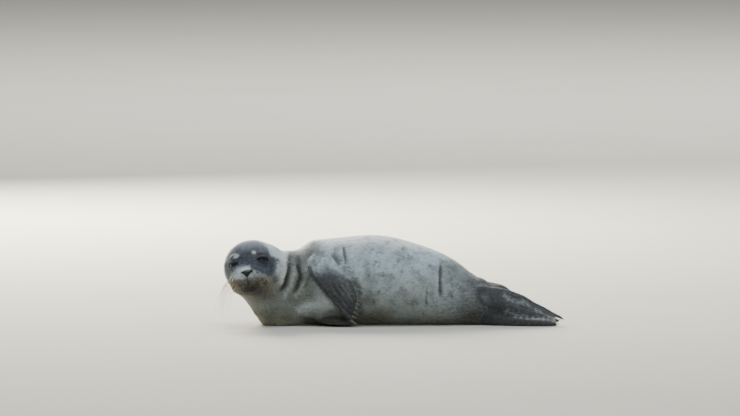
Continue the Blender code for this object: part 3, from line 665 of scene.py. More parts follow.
def sculpt(skin):
    """Moves the skin's points into the face, the folds and the digits, and notes where they lie."""
    mesh = skin.data
    edges, weights = edges_of(mesh), limb_weights(mesh)
    head = moved(places(mesh), TO_HEAD)
    bare = dark = np.zeros(len(head))
    head, bare, dark = opened_eyes(head, bare, dark)
    facing = unit(normals(mesh) @ np.array(TO_HEAD.to_3x3()).T)
    head, bare, dark = shaped_muzzle(head, facing, bare, dark)
    points = moved(head, HEAD)
    surface, out = surface_of(mesh, points), unit(spread(normals(mesh), edges, 4))
    points, cavity = folded(points, out, surface)
    points, groove = ridged_flippers(points, out, weights)
    # the skin lies inside the solids by the depth of the coat, except round the eyes
    on_head = step(-0.085, -0.03, head[:, 0]) * (np.abs(head[:, 1]) < 0.1) * (head[:, 2] > -0.11)
    limb = np.clip(sum(weights[name] for name in FLIPPERS), 0, 1)
    depth = COAT_DEPTH - COAT_THINNER * np.maximum(on_head, limb)
    depth = depth * (1 - bare) * (1 - 0.6 * step(0.012, 0.0, points[:, 2]))
    for centre in eye_centres.values():
        depth = depth * (1 - step(0.028, 0.022, distance_to(centre, points)))
    points = pushed(points, out, -depth)
    # x, y and z share their numbers with the points, and setting them moves the points
    x, y, z = points.T
    for centre, radius, rise in TAIL_SWELLS:
        away = np.linalg.norm((points - centre) * (0.8, 0.6, 1.0), axis=1)
        z += rise * bell(away, radius) * step(0.0, 0.4, out[:, 2])
    tail_end = weights["tail"] * step(0.296, 0.332, x)
    y += (0.008 - y) * 0.55 * tail_end**2
    z += (0.086 - z) * 0.45 * tail_end**2
    x += 0.009 * step(-0.372, -0.402, x) * bell(z - 0.046, 0.022)  # the throat is hollow
    x -= 0.0125 * step(-0.385, -0.415, x) * bell(z - 0.089, 0.014)  # and the right jowl full
    x += 0.0085 * weights["fore_flipper_left"] * step(-0.14, -0.118, x) * bell(z - 0.036, 0.018)
    low = step(0.19, 0.23, x) * step(0.0, -0.5, out[:, 2]) * step(0.024, 0.012, z)
    z -= low * np.minimum(0.75 * z, 0.006)
    z[:] = np.maximum(z, FLOOR_GAP)
    move_to(mesh, points)
    # the dark values are dark skin and painted shade round the eyes, nose, mouth and ears; cavity and groove
    # later give painted shade in folds and grooves and painted highlights on crests and ridges
    note(mesh, bare=bare, ink=dark, cavity=cavity, groove=groove)


# ---------------------------------------------------------------- markings
def drawn(marks, points, lines, rough, shown=1.0):
    """marks with soft lines drawn on them, each given by its places, its width and its strength."""
    for line, width, strength in lines:
        distance, _ = to_line(points, curve_through(line, 12))
        marks = np.maximum(marks, strength * bell(distance + rough, width) * shown)
    return marks


def markings(skin):
    """Notes the coat's zones on the skin: mask, pale places and painted highlights, darker places and painted
    shade, spots and slate flippers.
    """
    mesh = skin.data
    points, weights = places(mesh), limb_weights(mesh)
    ahead, depth, height = points.T
    x, y, z = moved(points, TO_HEAD).T
    side = np.abs(y)
    rough = 0.0022 * mottle(points, 0.012, 1) + 0.0016 * mottle(points, 0.006, 2)
    on_head = step(-0.16, -0.12, x) * (side < 0.14) * (z > -0.13)

    # the dark mask, paler on the bridge of the nose and towards the crown
    edge_x = np.interp(np.degrees(np.arctan2(z, side)), *MASK_BACK)
    behind = step(-0.007, 0.006, x - edge_x + rough) * (0.72 + 0.28 * step(-0.01, 0.02, x - edge_x))
    lower = np.where(y > 0, -0.015 - 0.56 * side, np.interp(side, *MASK_LOW))
    soft = 0.0035 * step(0.004, -0.012, y)
    below = step(-0.0055 - soft, 0.0045 + 2 * soft, z - lower + rough)
    bridge = window(z, -0.0255, -0.0215, -0.015, -0.005) * step(0.015, 0.007, np.abs(y + 0.003))
    bridge = bridge * step(0.03, 0.044, x)
    mask = behind * below * on_head * (1 - 0.75 * bridge)
    mask = mask * (1 - 0.34 * step(0.022, 0.06, z + 0.6 * rough)) * (1 - 0.2 * step(0.045, 0.075, z))
    mask = mask * (1 - 0.2 * step(-0.035, -0.06, y))

    # pale brows, whisker pads and a band behind the mask, which are the coat's own, and painted highlights
    # along lines and on the ridges between folds
    pale = 0.22 * bridge
    for spot_y, spot_z, wide, high in BROW_SPOTS:
        lean = 0.25 * (y - spot_y) * np.sign(spot_y)
        spot = np.hypot((y - spot_y) / wide, (z - spot_z + lean) / high) + 60 * np.abs(rough)
        spot = step(1.3, 0.55, spot) * (x > -0.02)
        pale = np.maximum(pale, 0.9 * spot)
        mask = mask * (1 - 0.9 * spot)
    pads = step(0.022, 0.04, x) * step(0.0035, -0.0045, z - lower) * step(-0.052, -0.039, z + 0.5 * rough)
    pads = pads * step(0.04, 0.022, side) * on_head * (1 - 0.6 * step(0.0, 0.02, y))
    inner = 0.02 + 0.042 * step(0.0, -0.035, z)
    band = step(0.006, -0.01, x - edge_x) * step(0.0, 0.022, side - inner + rough) * on_head
    band = band * step(-0.075, -0.05, z) * step(-0.12, -0.08, x)
    nape_fold = np.array(FOLDS["nape"][0])[::-1]
    past_nape = ahead - np.interp(height, nape_fold[:, 1], nape_fold[:, 0])
    band = band * step(-0.004, -0.008, past_nape + rough)
    pale = np.maximum.reduce([pale, 0.24 * pads, band])
    seen, near_side = points[:, [0, 2]], depth < 0.02
    pale = drawn(pale, points, PALE_AND_HIGHLIGHT_LINES, rough)
    pale = drawn(pale, seen, LIT_RIDGES, rough, near_side)

    # a brown muzzle and a dark chin, which lies a little to the left; the chin's dark is wet fur together with
    # painted shadow under the muzzle
    aside = np.abs(y - 0.005)
    chin = step(-0.05, -0.07, z + rough) * step(-0.122, -0.1, z) * step(0.048, 0.016, aside + 3 * rough)
    chin = chin * step(-0.032, -0.008, x)
    brown = step(-0.037, -0.057, z + 0.5 * rough) * step(-0.118, -0.092, z) * step(0.06, 0.032, aside)
    brown = brown * step(-0.05, -0.014, x)

    # shade on cheeks, throat and nape, in dark and shaded places and beside the folds: the coat's own darker
    # colour together with painted shade, as on the nape in the back light's shadow, beside the fore flipper and
    # in the folds
    cheek = step(-0.02, -0.04, z + 0.25 * (side - 0.04) + 2 * rough) * (1 - 0.4 * step(-0.085, -0.12, z))
    cheek = cheek * step(-0.085, -0.04, x) * (1 - pads) * on_head
    throat = step(-0.3, -0.345, ahead) * step(0.12, 0.085, height)
    nape = window(ahead, -0.345, -0.292, -0.238, -0.195) * step(0.232, 0.2, height)
    nape = nape * step(0.05, -0.01, depth) * (1 - 0.85 * weights["fore_flipper_left"])
    nape = nape * (0.95 - 0.35 * step(0.1, 0.02, height))
    shade = np.maximum.reduce([cheek, 0.5 * throat, nape]) * (1 - 0.9 * band) * (1 - 0.8 * mask)
    for place_x, place_z, radius, strength in DARK_AND_SHADED_PLACES:
        away = np.hypot(ahead - place_x, height - place_z) + 1.5 * rough + 0.06 * step(0.0, 0.06, depth)
        shade = np.maximum(shade, strength * bell(away, radius))
    shade = drawn(shade, seen, SHADED_LINES, rough, near_side)

    # slate flippers, tail and rump
    upper = height + np.interp(ahead, (-0.236, -0.186, -0.126), (0.02, 0.0, 0.012)) + 0.8 * rough
    slate = 0.96 * weights["fore_flipper_left"] * step(0.186, 0.14, upper)
    slate = np.maximum(slate, 0.9 * weights["fore_flipper_right"])
    for name, rounds in (("hind_flipper_left", 2), ("hind_flipper_right", 2), ("tail", 24)):
        slate = np.maximum(slate, 0.95 * spread(weights[name], edges_of(mesh), rounds))
    rump = ahead + 0.35 * (0.09 - height) + 9 * rough
    slate = np.maximum(slate, 0.42 * step(0.12, 0.175, rump) + 0.5 * step(0.175, 0.29, rump))

    # dark spots, some at their own places and some scattered
    scattered = random.choice(len(points), SCATTERED_SPOTS)
    centres = [(points[i], random.uniform(0.0025, 0.0075)) for i in scattered if depth[i] > -0.05]
    surface = surface_of(mesh, points)
    for spot_x, spot_z, radius in DARK_SPOTS:
        centres += [(place, radius) for place in on_left(surface, [(spot_x, spot_z)])]
    spots = np.zeros(len(points))
    for centre, radius in centres:
        spots = np.maximum(spots, step(radius * 1.3, radius * 0.5, distance_to(centre, points) + rough))
    spots = spots * (1 - 0.8 * step(-0.13, -0.09, x) * on_head)
    note(mesh, mask=mask, pale=pale, chin=chin * on_head, brown=brown * on_head, slate=slate, spots=spots,
         shade=shade)


# ---------------------------------------------------------------- the coat
def flow(points, weights):
    """The lie of the coat: away from the nose on head and neck, then backwards, and along each flipper."""
    share = step(-0.3, -0.16, points[:, 0])[:, None]
    way = unit(points - NOSE_TIP) * (1 - share) + unit(np.array([1.0, 0.0, -0.16])) * share
    for name in FLIPPERS:
        along = unit(np.mean([tip - root for root, tip in digits(name)], axis=0))
        way = way * (1 - weights[name][:, None]) + along * weights[name][:, None]
    return unit(way)


def coat(skin, share):
    mesh = skin.data
    mesh.calc_loop_triangles()
    corners = column(mesh.loop_triangles, "vertices", 3, np.int32)
    loops = column(mesh.loop_triangles, "loops", 3, np.int32)
    unwrapped = column(mesh.uv_layers[0].data, "uv", 2)
    points, facing, weights = places(mesh), normals(mesh), limb_weights(mesh)
    zones = {name: values_of(mesh, name) for name in ZONES}
    x, y, z = moved(points, TO_HEAD).T
    on_head = step(-0.105, -0.07, x) * (np.abs(y) < 0.11) * (z > -0.115)
    face = step(-0.03, 0.02, x) * on_head
    limb = np.clip(sum(weights[name] for name in FLIPPERS), 0, 1)
    near_floor = step(0.01, 0.003, points[:, 2])
    flatter = 1 - 0.55 * np.clip(2.4 * spread(np.abs(zones["cavity"]), edges_of(mesh), 5), 0, 1)  # in folds
    length, width, stand = (
        (body - head_less * on_head - face_less * face) * (1 - limb) + on_limb * limb
        for body, head_less, face_less, on_limb in TUFT_SIZES
    )
    length, stand = length * flatter, stand * (1 - 0.7 * near_floor) * flatter
    density = (1 + 1.5 * on_head + 2.0 * face + 1.2 * limb) * (1 - 0.75 * near_floor)
    density = density * (1 - step(0.2, 0.6, zones["bare"]))
    a, b, c = (points[corners[:, i]] for i in range(3))
    wanted = np.linalg.norm(np.cross(b - a, c - a), axis=1) / 2 * density[corners].mean(axis=1)
    total = int(TUFTS * share)
    chosen = np.sort(random.choice(len(corners), total, p=wanted / wanted.sum()))
    u, v = random.random(total), random.random(total)
    turn = u + v > 1
    u[turn], v[turn] = 1 - u[turn], 1 - v[turn]
    blend = np.stack([1 - u - v, u, v], axis=1)

    def mixed(values, at=corners):
        """These values at the tufts' roots."""
        picked = values[at[chosen]]
        return (picked * (blend if picked.ndim == 2 else blend[:, :, None])).sum(axis=1)

    root, out, along = mixed(points), unit(mixed(facing)), mixed(flow(points, weights))
    along = unit(along - out * (along * out).sum(axis=1)[:, None])
    along = unit(along + np.cross(out, along) * random.normal(0, 0.2, total)[:, None])
    across = np.cross(out, along)
    longways, sideways, upwards = (
        way * (mixed(size) * random.uniform(least, most, total))[:, None] for way, size, least, most in (
            (along, length, 0.7, 1.25), (across, width, 0.75, 1.2), (out, stand, 0.45, 1.35))
    )
    foot, middle = root - out * TUFT_ROOT, root + 0.5 * longways + 0.8 * upwards
    made = np.stack([foot - 0.5 * sideways, foot + 0.5 * sideways, middle + 0.42 * sideways,
                     middle - 0.42 * sideways, root + longways + upwards], axis=1)
    made[:, :, 2] = np.maximum(made[:, :, 2], FLOOR_GAP * 0.5)
    values = {"tone": random.normal(0, 1, total), **{name: mixed(zone) for name, zone in zones.items()}}
    patch = mixed(unwrapped, loops)
    place = np.digitize(root[:, 0], COAT_SPLITS)
    place[mixed(on_head) > 0.5] = COAT_NAMES.index("coat_head")
    place[mixed(limb) > 0.5] = COAT_NAMES.index("coat_flippers")
    place = place * 2 + (root[:, 1] > FAR_SIDE)
    pieces = []
    for index in np.unique(place):
        own = np.flatnonzero(place == index)
        name = COAT_NAMES[index // 2] + ("_far" if index % 2 else "_near")
        for part, some in enumerate(np.array_split(own, len(own) // TUFTS_IN_PIECE + 1)):
            own_values = {key: value[some] for key, value in values.items()}
            pieces.append(tuft_piece(f"{name}_{part + 1}", made[some], patch[some], own_values))
    return pieces


def tuft_piece(name, made, patch, values):
    """Tufts as one mesh. Each has five points, a quad from its root and a triangle at its tip."""
    total = len(made)
    mesh = bpy.data.meshes.new(name)
    mesh.vertices.add(total * 5)
    mesh.vertices.foreach_set("co", made.ravel())
    first = np.arange(total)[:, None]
    mesh.loops.add(total * 7)
    mesh.loops.foreach_set("vertex_index", (first * 5 + (0, 1, 2, 3, 3, 2, 4)).ravel().astype(np.int32))
    mesh.polygons.add(total * 2)
    mesh.polygons.foreach_set("loop_start", (first * 7 + (0, 4)).ravel().astype(np.int32))
    mesh.update(calc_edges=True)
    shape = np.array([(-1, -1), (1, -1), (1, 0), (-1, 0), (-1, 0), (1, 0), (0, 1)]) * PATCH
    layer = mesh.uv_layers.new(name="OFBake")
    layer.data.foreach_set("uv", (patch[:, None, :] + shape).astype(np.float32).ravel())
    note(mesh, tip=np.tile([0.0, 0.0, 0.5, 0.5, 1.0], total))
    note(mesh, **{key: np.repeat(value, 5) for key, value in values.items()})
    mesh.shade_smooth()
    return added(name, mesh)


# ---------------------------------------------------------------- eyes, nose, whiskers and claws
def eyeball(side):
    """A dark wet eye with a bulging cornea that looks out through the slit."""
    only()
    bpy.ops.mesh.primitive_uv_sphere_add(segments=64, ring_count=48, radius=EYE_RADIUS)
    eye = bpy.context.object
    eye.name = eye.data.name = "eyeball_" + side
    azimuth, elevation = math.radians(LID_OPENING[side][0] - 6), math.radians(LID_OPENING[side][1] - 2)
    outwards = math.sin(azimuth) if side == "left" else -math.sin(azimuth)
    level = math.cos(elevation)
    gaze = Vector((level * math.cos(azimuth), level * outwards, math.sin(elevation)))
    turn = (HEAD.to_3x3() @ gaze).normalized().to_track_quat("Z", "Y").to_matrix()
    points = places(eye.data)
    off_axis = np.degrees(np.arccos(np.clip(points[:, 2] / EYE_RADIUS, -1, 1)))
    note(eye.data, off_axis=off_axis)
    points = points * (1 + CORNEA_RISE * step(36, 14, off_axis))[:, None] * EYEBALL_FIT
    move_to(eye.data, points @ np.array(turn).T + np.array(eye_centres[side]))
    return smooth_shaded(eye)


def nose_piece(skin):
    """The bare nose: a plate cut from the skin itself, a little proud of it and rounded at its rim."""
    nose = added("nose_pad", skin.data.copy())
    mesh = nose.data
    mesh.name = nose.name
    outside = nose_pad(moved(places(mesh), TO_HEAD)) <= -0.0002
    edit_chosen(nose, "VERT", mesh.vertices, outside)
    bpy.ops.mesh.delete(type="VERT")
    close()
    points = places(mesh)
    rim = step(0.0, 0.0016, nose_pad(moved(points, TO_HEAD)))
    move_to(mesh, pushed(points, normals(mesh), 0.0001 + 0.00035 * rim))
    return smooth_shaded(modified(nose, "SOLIDIFY", thickness=0.0016, offset=-1.0))


def hairs(name, strands, sides=6):
    """Tapered hairs as one mesh. Each strand is its points and its radius at the root."""
    verts, faces, along = [], [], []
    turns = 2 * math.pi * np.arange(sides) / sides
    for points, radius in strands:
        points, start, last = np.asarray(points), len(verts), len(points) - 1
        heading = unit(np.gradient(points, axis=0))
        side = unit(np.cross(heading, UP))
        other = np.cross(side, heading)
        for i, point in enumerate(points):
            size = radius * (1 - HAIR_TAPER * i / last) * (1 + 0.1 * math.sin(i * 2.1))
            verts += [point + (side[i] * math.cos(turn) + other[i] * math.sin(turn)) * size for turn in turns]
            along += [i / last] * sides
        for low in range(start, start + last * sides, sides):
            for corner in range(sides):
                after = (corner + 1) % sides
                faces.append((low + corner, low + after, low + sides + after, low + sides + corner))
        faces.append(range(start + sides - 1, start - 1, -1))
        faces.append(range(start + last * sides, start + last * sides + sides))
    mesh = bpy.data.meshes.new(name)
    mesh.from_pydata(verts, [], faces)
    mesh.update()
    note(mesh, along=along)
    mesh.shade_smooth()
    obj = added(name, mesh)
    edit(obj)
    bpy.ops.mesh.normals_make_consistent(inside=False)
    close()
    return obj


def hair(surface, root, heading, length, droop, radius, count=18):
    """One hair from the skin near root, in the head's frame. It sets off along heading and bends down."""
    heading = (HEAD.to_3x3() @ Vector(heading)).normalized()
    point = surface.find_nearest(HEAD @ Vector(root))[0] - heading * 0.002
    points = [np.array(point)]
    for share in np.linspace(0, 1, count - 1):
        way = (heading * (1 - 0.55 * share) + Vector((0, 0, -1)) * droop * share).normalized()
        point = point + way * length / (count - 1)
        points.append(np.array(point))
    return points, radius


def whiskers(skin):
    """The whiskers, thin and short on the left, and the brow hairs."""
    surface = surface_of(skin.data, places(skin.data))
    strands = []
    for row, number, (x, y, height) in whisker_roots():
        back = number / 5
        for sign in BOTH:
            longer, droopier, radius = WHISKERS[sign]
            heading = Vector((0.42 - 0.62 * back, sign * (0.85 + 0.15 * back), 0.05 - 0.15 * row))
            length = (0.048 + 0.026 * back + 0.003 * row) * random.uniform(0.8, 1.1) * longer
            droop = random.uniform(1.6, 2.4) * droopier
            heading += Vector(random.normal(0, 0.09, 3))
            strands.append(hair(surface, (x, sign * y, height), heading, length, droop, radius))
    for sign in BOTH:
        for number in range(BROW_HAIRS):
            root = (0.01 - 0.001 * number, sign * (0.02 + 0.0035 * number), 0.0265 - 0.0012 * number)
            heading = (0.55, sign * (0.35 + 0.1 * number), 0.62)
            strands.append(hair(surface, root, heading, random.uniform(0.014, 0.022), 0.6, 0.00024, 10))
    return hairs("whiskers", strands)


def claws():
    """Each claw is its solid, rounded."""
    for name in sorted(nodes):
        if "_claw_" in name:
            claw = copied([name], name.replace("claw", "nail"))
            yield smooth_shaded(modified(claw, "SUBSURF", levels=2, render_levels=2)), name


# ---------------------------------------------------------------- materials
class Wire:
    """One socket of a material's nodes. Arithmetic with numbers and other wires adds Math nodes."""

    def __init__(self, tree, socket=None):
        self.tree, self.socket = tree, socket

    def node(self, kind, settings=None, inputs=None, output=0):
        """A node of this kind, its settings set first, then the values or wires of its sockets."""
        made = self.tree.nodes.new("ShaderNode" + kind)
        for name, value in (settings or {}).items():
            setattr(made, name, value)
        for key, value in (inputs or {}).items():
            if isinstance(value, Wire):
                self.tree.links.new(value.socket, made.inputs[key])
            else:
                made.inputs[key].default_value = value
        return Wire(self.tree, made.outputs[output])

    def math(self, operation, *values, clamp=False):
        return self.node("Math", {"operation": operation, "use_clamp": clamp}, dict(enumerate(values)))

    def __add__(self, other):
        return self.math("ADD", self, other)

    def __sub__(self, other):
        return self.math("SUBTRACT", self, other)

    def __rsub__(self, other):
        return self.math("SUBTRACT", other, self)

    def __mul__(self, other):
        return self.math("MULTIPLY", self, other)

    __radd__ = __add__
    __rmul__ = __mul__

    def clamped(self):
        return self.math("ADD", self, 0.0, clamp=True)

    def between(self, low, high):
        """0 at low and 1 at high, smooth in between."""
        return self.node("MapRange", {"interpolation_type": "SMOOTHSTEP"},
                         {"Value": self, "From Min": low, "From Max": high})

    def value(self, name):
        return self.node("Attribute", {"attribute_name": name}, output=2)

    def place(self):
        return self.node("TexCoord", output=3)

    def noise(self, scale, detail, rough=0.5, stretch=(1, 1, 1), warp=0.0):
        where = self.node("Mapping", {}, {"Vector": self.place(), "Scale": stretch})
        return self.node("TexNoise", {}, {"Vector": where, "Scale": scale, "Detail": detail, "Roughness": rough,
                                          "Distortion": warp})

    def cells(self, scale, output=0):
        """Distance from the middle of a cell, or with output 1 the cell's own colour."""
        return self.node("TexVoronoi", {}, {"Vector": self.place(), "Scale": scale}, output)

    def colour(self, first, *layers):
        """A colour, given as 0 to 255 on a screen or as a wire, with others laid over it by their factors."""
        found = first
        if not isinstance(first, Wire):
            found = self.node("RGB")
            found.socket.default_value = plain(first)
        for over, factor in layers:
            inputs = {0: factor, 6: found, 7: over if isinstance(over, Wire) else plain(over)}
            found = self.node("Mix", {"data_type": "RGBA", "clamp_factor": True}, inputs, 2)
        return found

    def feed(self, shader, name):
        self.tree.links.new(self.socket, shader.inputs[name])

    def relief(self, shader, strength, distance):
        """Feeds the shader's Normal with this as the height of a fine relief."""
        bump = self.node("Bump", {}, {"Strength": strength, "Distance": distance, "Height": self})
        bump.feed(shader, "Normal")


def new_material(name, **uniform):
    """A Principled material with values that are the same all over, its shader and a wire to build on."""
    made = bpy.data.materials.new(name)
    made.use_nodes = True
    shader = made.node_tree.nodes["Principled BSDF"]
    for key, value in uniform.items():
        shader.inputs[key.replace("_", " ").title().replace("Ior", "IOR")].default_value = value
    return made, shader, Wire(made.node_tree)


def plain(colour):
    """The colour of these 0 to 255 on a screen, as a shader's numbers."""
    return (*(((c / 255 + 0.055) / 1.055) ** 2.4 if c > 10 else c / 255 / 12.92 for c in colour), 1)


def coat_material():
    """Mottled silver coat with a dark mask and slate flippers, and with painted shade and highlights. Skin and
    tufts share it.
    """
    made, shader, w = new_material("mottled_coat", sheen_weight=0.3, sheen_roughness=0.4,
                                   specular_ior_level=0.25)

    def speckles(scale, size, share):
        """Round specks of uneven size, on a share of the cells."""
        chance = w.node("SeparateColor", {}, {0: w.cells(scale, 1)})
        reach = size * chance + 0.3 * w.noise(scale * 2.2, 2.0, 0.55)
        return (reach - w.cells(scale) + 0.02).between(0.1, 0.24) * chance.between(1 - share, 1.08 - share)

    along, depth, height = (w.node("SeparateXYZ", {}, {0: w.place()}, output) for output in range(3))
    broad = w.noise(9.0, 2.0, 0.55)
    clouds = w.noise(19.0, 2.0, 0.5, warp=0.3).between(0.44, 0.66)
    patches = w.noise(34.0, 4.0, 0.62, warp=0.2).between(0.46, 0.68)
    mottled = w.noise(88.0, 4.0, 0.65, warp=0.3).between(0.5, 0.7)
    fine = w.noise(210.0, 3.0, 0.6).between(0.58, 0.72)
    specks, small_specks = speckles(74.0, 0.42, 0.55), speckles(135.0, 0.42, 0.5)
    streaks = w.noise(420.0, 2.0, 0.7, (0.16, 1, 1))
    # upper strengthens the marks on the upper flank; top weakens them on the top of the back, which stays
    # bright as a painted highlight
    upper = (height + 0.02 * broad).between(0.05, 0.13)
    top = 1 - 0.45 * height.between(0.18, 0.235)
    uneven_height = height + 0.03 * broad
    # the silver darkens and turns olive towards the floor as painted shade, and pales towards the top of the
    # back as a painted highlight from the back light; just above the floor it is lighter again, painted light
    # against the contact shadow
    silver = w.colour(
        (112, 108, 84),
        ((188, 200, 203), uneven_height.between(0.022, 0.112)),
        ((203, 223, 235), uneven_height.between(0.11, 0.195)),
        ((190, 184, 156), height.between(0.026, 0.006) * 0.85),
        ((220, 232, 238), broad.between(0.48, 0.72) * 0.4),
        ((232, 243, 250), height.between(0.175, 0.23)),
        ((138, 148, 152), clouds * (0.22 + 0.14 * upper) * top),
        ((122, 133, 139), patches * (0.38 + 0.3 * upper) * top),
        ((98, 107, 112), mottled * (0.2 + 0.26 * upper) * (0.5 + 0.7 * patches)),
        ((74, 80, 86), specks * (0.16 + 0.4 * patches)),
        ((66, 71, 76), small_specks * (0.08 + 0.26 * mottled)),
        ((70, 74, 76), fine * 0.12),
        ((128, 136, 140), depth.between(0.02, 0.11) * (0.3 + 0.25 * patches + 0.15 * clouds)),
        ((44, 46, 50), w.value("spots") * (0.42 + 0.6 * mottled)),
    )
    groove, cavity, shade, tone = (w.value(name) for name in ("groove", "cavity", "shade", "tone"))
    # the silver made darker and olive where the shade zone lies: the coat's own darker places together with
    # painted shade
    darker_and_shaded = w.colour(silver, ((72, 72, 56), 0.84))
    slate = w.colour(
        (23, 22, 28),
        # lighter higher up on the fore flippers and darker low down: painted light from above and painted shade
        # below
        ((56, 59, 68), height.between(0.08, 0.16) * along.between(0.1, -0.02)),
        ((35, 36, 45), along.between(0.00, 0.15)),
        ((88, 92, 99), patches * 0.3),
        ((24, 23, 28), mottled * 0.45),
        ((104, 107, 110), fine * 0.2),
        # painted highlight on the digits' ridges
        ((138, 142, 146), groove.between(-0.2, -0.85) * 0.14),
    )
    dark = w.colour(
        (40, 47, 64),
        ((66, 71, 82), broad.between(0.42, 0.62) * 0.5),
        ((28, 36, 56), patches * 0.7),
        ((100, 100, 106), fine * 0.3 + 0.2 * mottled),
    )
    unmarked = 1 - 0.6 * w.value("chin") - 0.45 * w.value("mask") - 0.4 * w.value("slate") - w.value("ink")
    w.colour(
        silver,
        (darker_and_shaded, shade * (1.0 - 0.2 * patches)),
        # darker still where shade passes 1: painted shade deep in the neck folds and along the fore flipper's
        # edges
        ((40, 41, 37), 1.5 * (shade - 1).clamped()),
        (slate, w.value("slate") * (1.0 - 0.12 * mottled)),
        # painted shade in the grooves between the digits
        ((20, 20, 24), groove.between(0.05, 1.0) * 0.22),
        # pale coat, together with painted highlights on bulges and ridges
        ((216, 224, 223), w.value("pale") * (0.96 - 0.4 * mottled) * (1 - 0.4 * small_specks)),
        (dark, w.value("mask") * (1.0 - 0.1 * mottled)),
        ((56, 46, 31), w.value("brown") * (0.8 - 0.25 * mottled)),
        # the dark chin: wet fur together with painted shadow under the muzzle
        ((26, 20, 19), w.value("chin") * 0.88),
        # painted shade in the folds
        ((46, 47, 42), cavity.between(0.0, 0.85) * 0.88),
        # painted highlight on the crests beside the folds
        ((204, 208, 200), cavity.between(-0.1, -0.9) * 0.14),
        # dark skin, and painted shade in the nostrils, the mouth, the ears and round the eyes
        ((14, 13, 15), w.value("ink")),
        ((236, 238, 232), ((0.08 * tone).clamped() + 0.1 * w.value("tip")) * unmarked.clamped()),
        ((34, 34, 34), (-0.1 * tone).clamped() + 0.18 * streaks.between(0.62, 0.4)),
    ).feed(shader, "Base Color")
    (0.7 - 0.3 * w.value("bare") + 0.1 * streaks).feed(shader, "Roughness")
    (streaks + 0.5 * w.noise(900.0, 2.0, 0.6)).relief(shader, 0.55, 0.0006)
    return made


def nose_material():
    made, shader, w = new_material("moist_nose", specular_ior_level=0.38)
    soft = w.noise(260.0, 3.0)
    w.colour((15, 15, 18), ((34, 34, 38), soft.between(0.45, 0.75) * 0.5)).feed(shader, "Base Color")
    (0.34 + 0.3 * soft).feed(shader, "Roughness")
    (1 - w.cells(1500.0)).relief(shader, 0.5, 0.0003)
    return made


def eye_material():
    """A dark pupil, a brown iris round it and a darker rim, by the angle from the eye's axis."""
    made, shader, w = new_material("wet_eye", roughness=0.1, specular_ior_level=0.45, coat_weight=0.4,
                                   coat_roughness=0.02, ior=1.38)
    off_axis = w.value("off_axis")
    iris = off_axis.between(13.0, 17.0) * (0.5 + 0.5 * w.noise(700.0, 3.0))
    rim = off_axis.between(26.0, 32.0)
    w.colour((6, 6, 8), ((24, 16, 12), iris), ((12, 10, 10), rim)).feed(shader, "Base Color")
    return made


def horn_material(name, root, tip, roughness):
    """Horn or hair that runs from one colour to another along its length, or by a fine grain."""
    made, shader, w = new_material(name, specular_ior_level=0.5)
    grain = w.noise(900.0, 2.0)
    w.colour(root, (tip, (w.value("along") + 0.5 * grain).clamped())).feed(shader, "Base Color")
    (roughness + 0.2 * grain).feed(shader, "Roughness")
    grain.relief(shader, 0.3, 0.0002)
    return made


def dress(obj, material):
    obj.data.materials.clear()
    obj.data.materials.append(material)


# ---------------------------------------------------------------- the model
skin = whole_skin()
unwrap(skin)
refine_skin(skin)
sculpt(skin)
markings(skin)
skin.data.shade_smooth()
mottled = coat_material()
dress(skin, mottled)
tufts = coat(skin, 1.0)
nose = nose_piece(skin)
whisker_piece = whiskers(skin)

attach(skin, "root")
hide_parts(*[name for name in FLESH if name != "nose"])
for piece in tufts:
    dress(piece, mottled)
    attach(piece, "root")
    "dark_fur" if "flippers" in piece.name else "fur"
dress(nose, nose_material())
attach(nose, "root")
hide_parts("nose")
wet = eye_material()
for side in ("left", "right"):
    eye = eyeball(side)
    dress(eye, wet)
    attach(eye, "root")
    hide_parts("eye_" + side)
dress(whisker_piece, horn_material("whisker", (70, 62, 54), (204, 178, 130), 0.3))
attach(whisker_piece, "root")
horn = horn_material("claw_horn", (58, 54, 48), (176, 172, 158), 0.35)
for claw, name in claws():
    dress(claw, horn)
    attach(claw, "root")
    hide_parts(name)

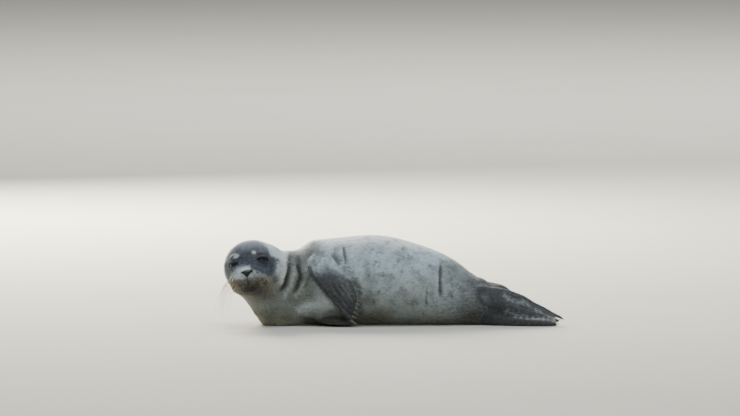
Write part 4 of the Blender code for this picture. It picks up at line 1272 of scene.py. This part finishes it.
# ---------------------------------------------------------------- floor, light and camera
def pale_floor():
    """A pale round floor whose rim sweeps up all round, far outside the camera."""
    only()
    bpy.ops.mesh.primitive_circle_add(vertices=128, radius=FLOOR_RADIUS, fill_type="NGON")
    floor = bpy.context.object
    floor.name = floor.data.name = "floor"
    edit(floor, "EDGE")
    for outwards, upwards in FLOOR_RIM:
        bpy.ops.mesh.extrude_edges_move()
        bpy.ops.transform.resize(value=(outwards, outwards, 1.0))
        bpy.ops.transform.translate(value=(0, 0, upwards))
    bpy.ops.mesh.select_all(action="SELECT")
    bpy.ops.mesh.normals_make_consistent(inside=False)
    close()
    bpy.ops.object.shade_smooth()
    made, shader, w = new_material("pale_floor", roughness=0.9, specular_ior_level=0.1)
    w.colour((188, 185, 174), ((194, 192, 182), w.noise(1.5, 3.0))).feed(shader, "Base Color")
    dress(floor, made)


def soft_light(name, place, aim, size, power, colour):
    data = bpy.data.lights.new(name, "AREA")
    data.shape, data.size, data.energy, data.color = "DISK", size, power, colour
    light = added(name, data)
    light.location = place
    light.rotation_euler = (Vector(aim) - Vector(place)).to_track_quat("-Z", "Y").to_euler()


pale_floor()
soft_light("back_light", (-1.8, 4.6, 2.5), (0, 0, 0.1), 2.4, 1000.0, (1.0, 0.94, 0.8))
soft_light("top_light", (0.2, -0.2, 3.4), (0, 0, 0.1), 2.4, 85.0, (0.9, 0.96, 1.0))
soft_light("far_light", (0.6, 10.5, 7.5), (0.6, 10.5, 0.0), 8.0, 1500.0, (1.0, 0.98, 0.94))
soft_light("front_fill", (0.4, -3.6, 1.9), (0, 0, 0.1), 2.6, 30.0, (0.84, 0.93, 1.0))
world = bpy.data.worlds.new("studio")
world.use_nodes = True
sky = world.node_tree.nodes["Background"]
sky.inputs["Color"].default_value = (0.78, 0.85, 0.92, 1)
sky.inputs["Strength"].default_value = 0.4
bpy.context.scene.world = world

camera = added("camera", bpy.data.cameras.new("camera"))
camera.data.lens, camera.data.sensor_width, camera.data.clip_end = 400.0, 36.0, 200.0
away = Vector((0, -math.cos(ELEVATION), math.sin(ELEVATION)))
camera.location = TARGET + away * DISTANCE
camera.rotation_euler = (-away).to_track_quat("-Z", "Y").to_euler()
bpy.context.scene.camera = camera
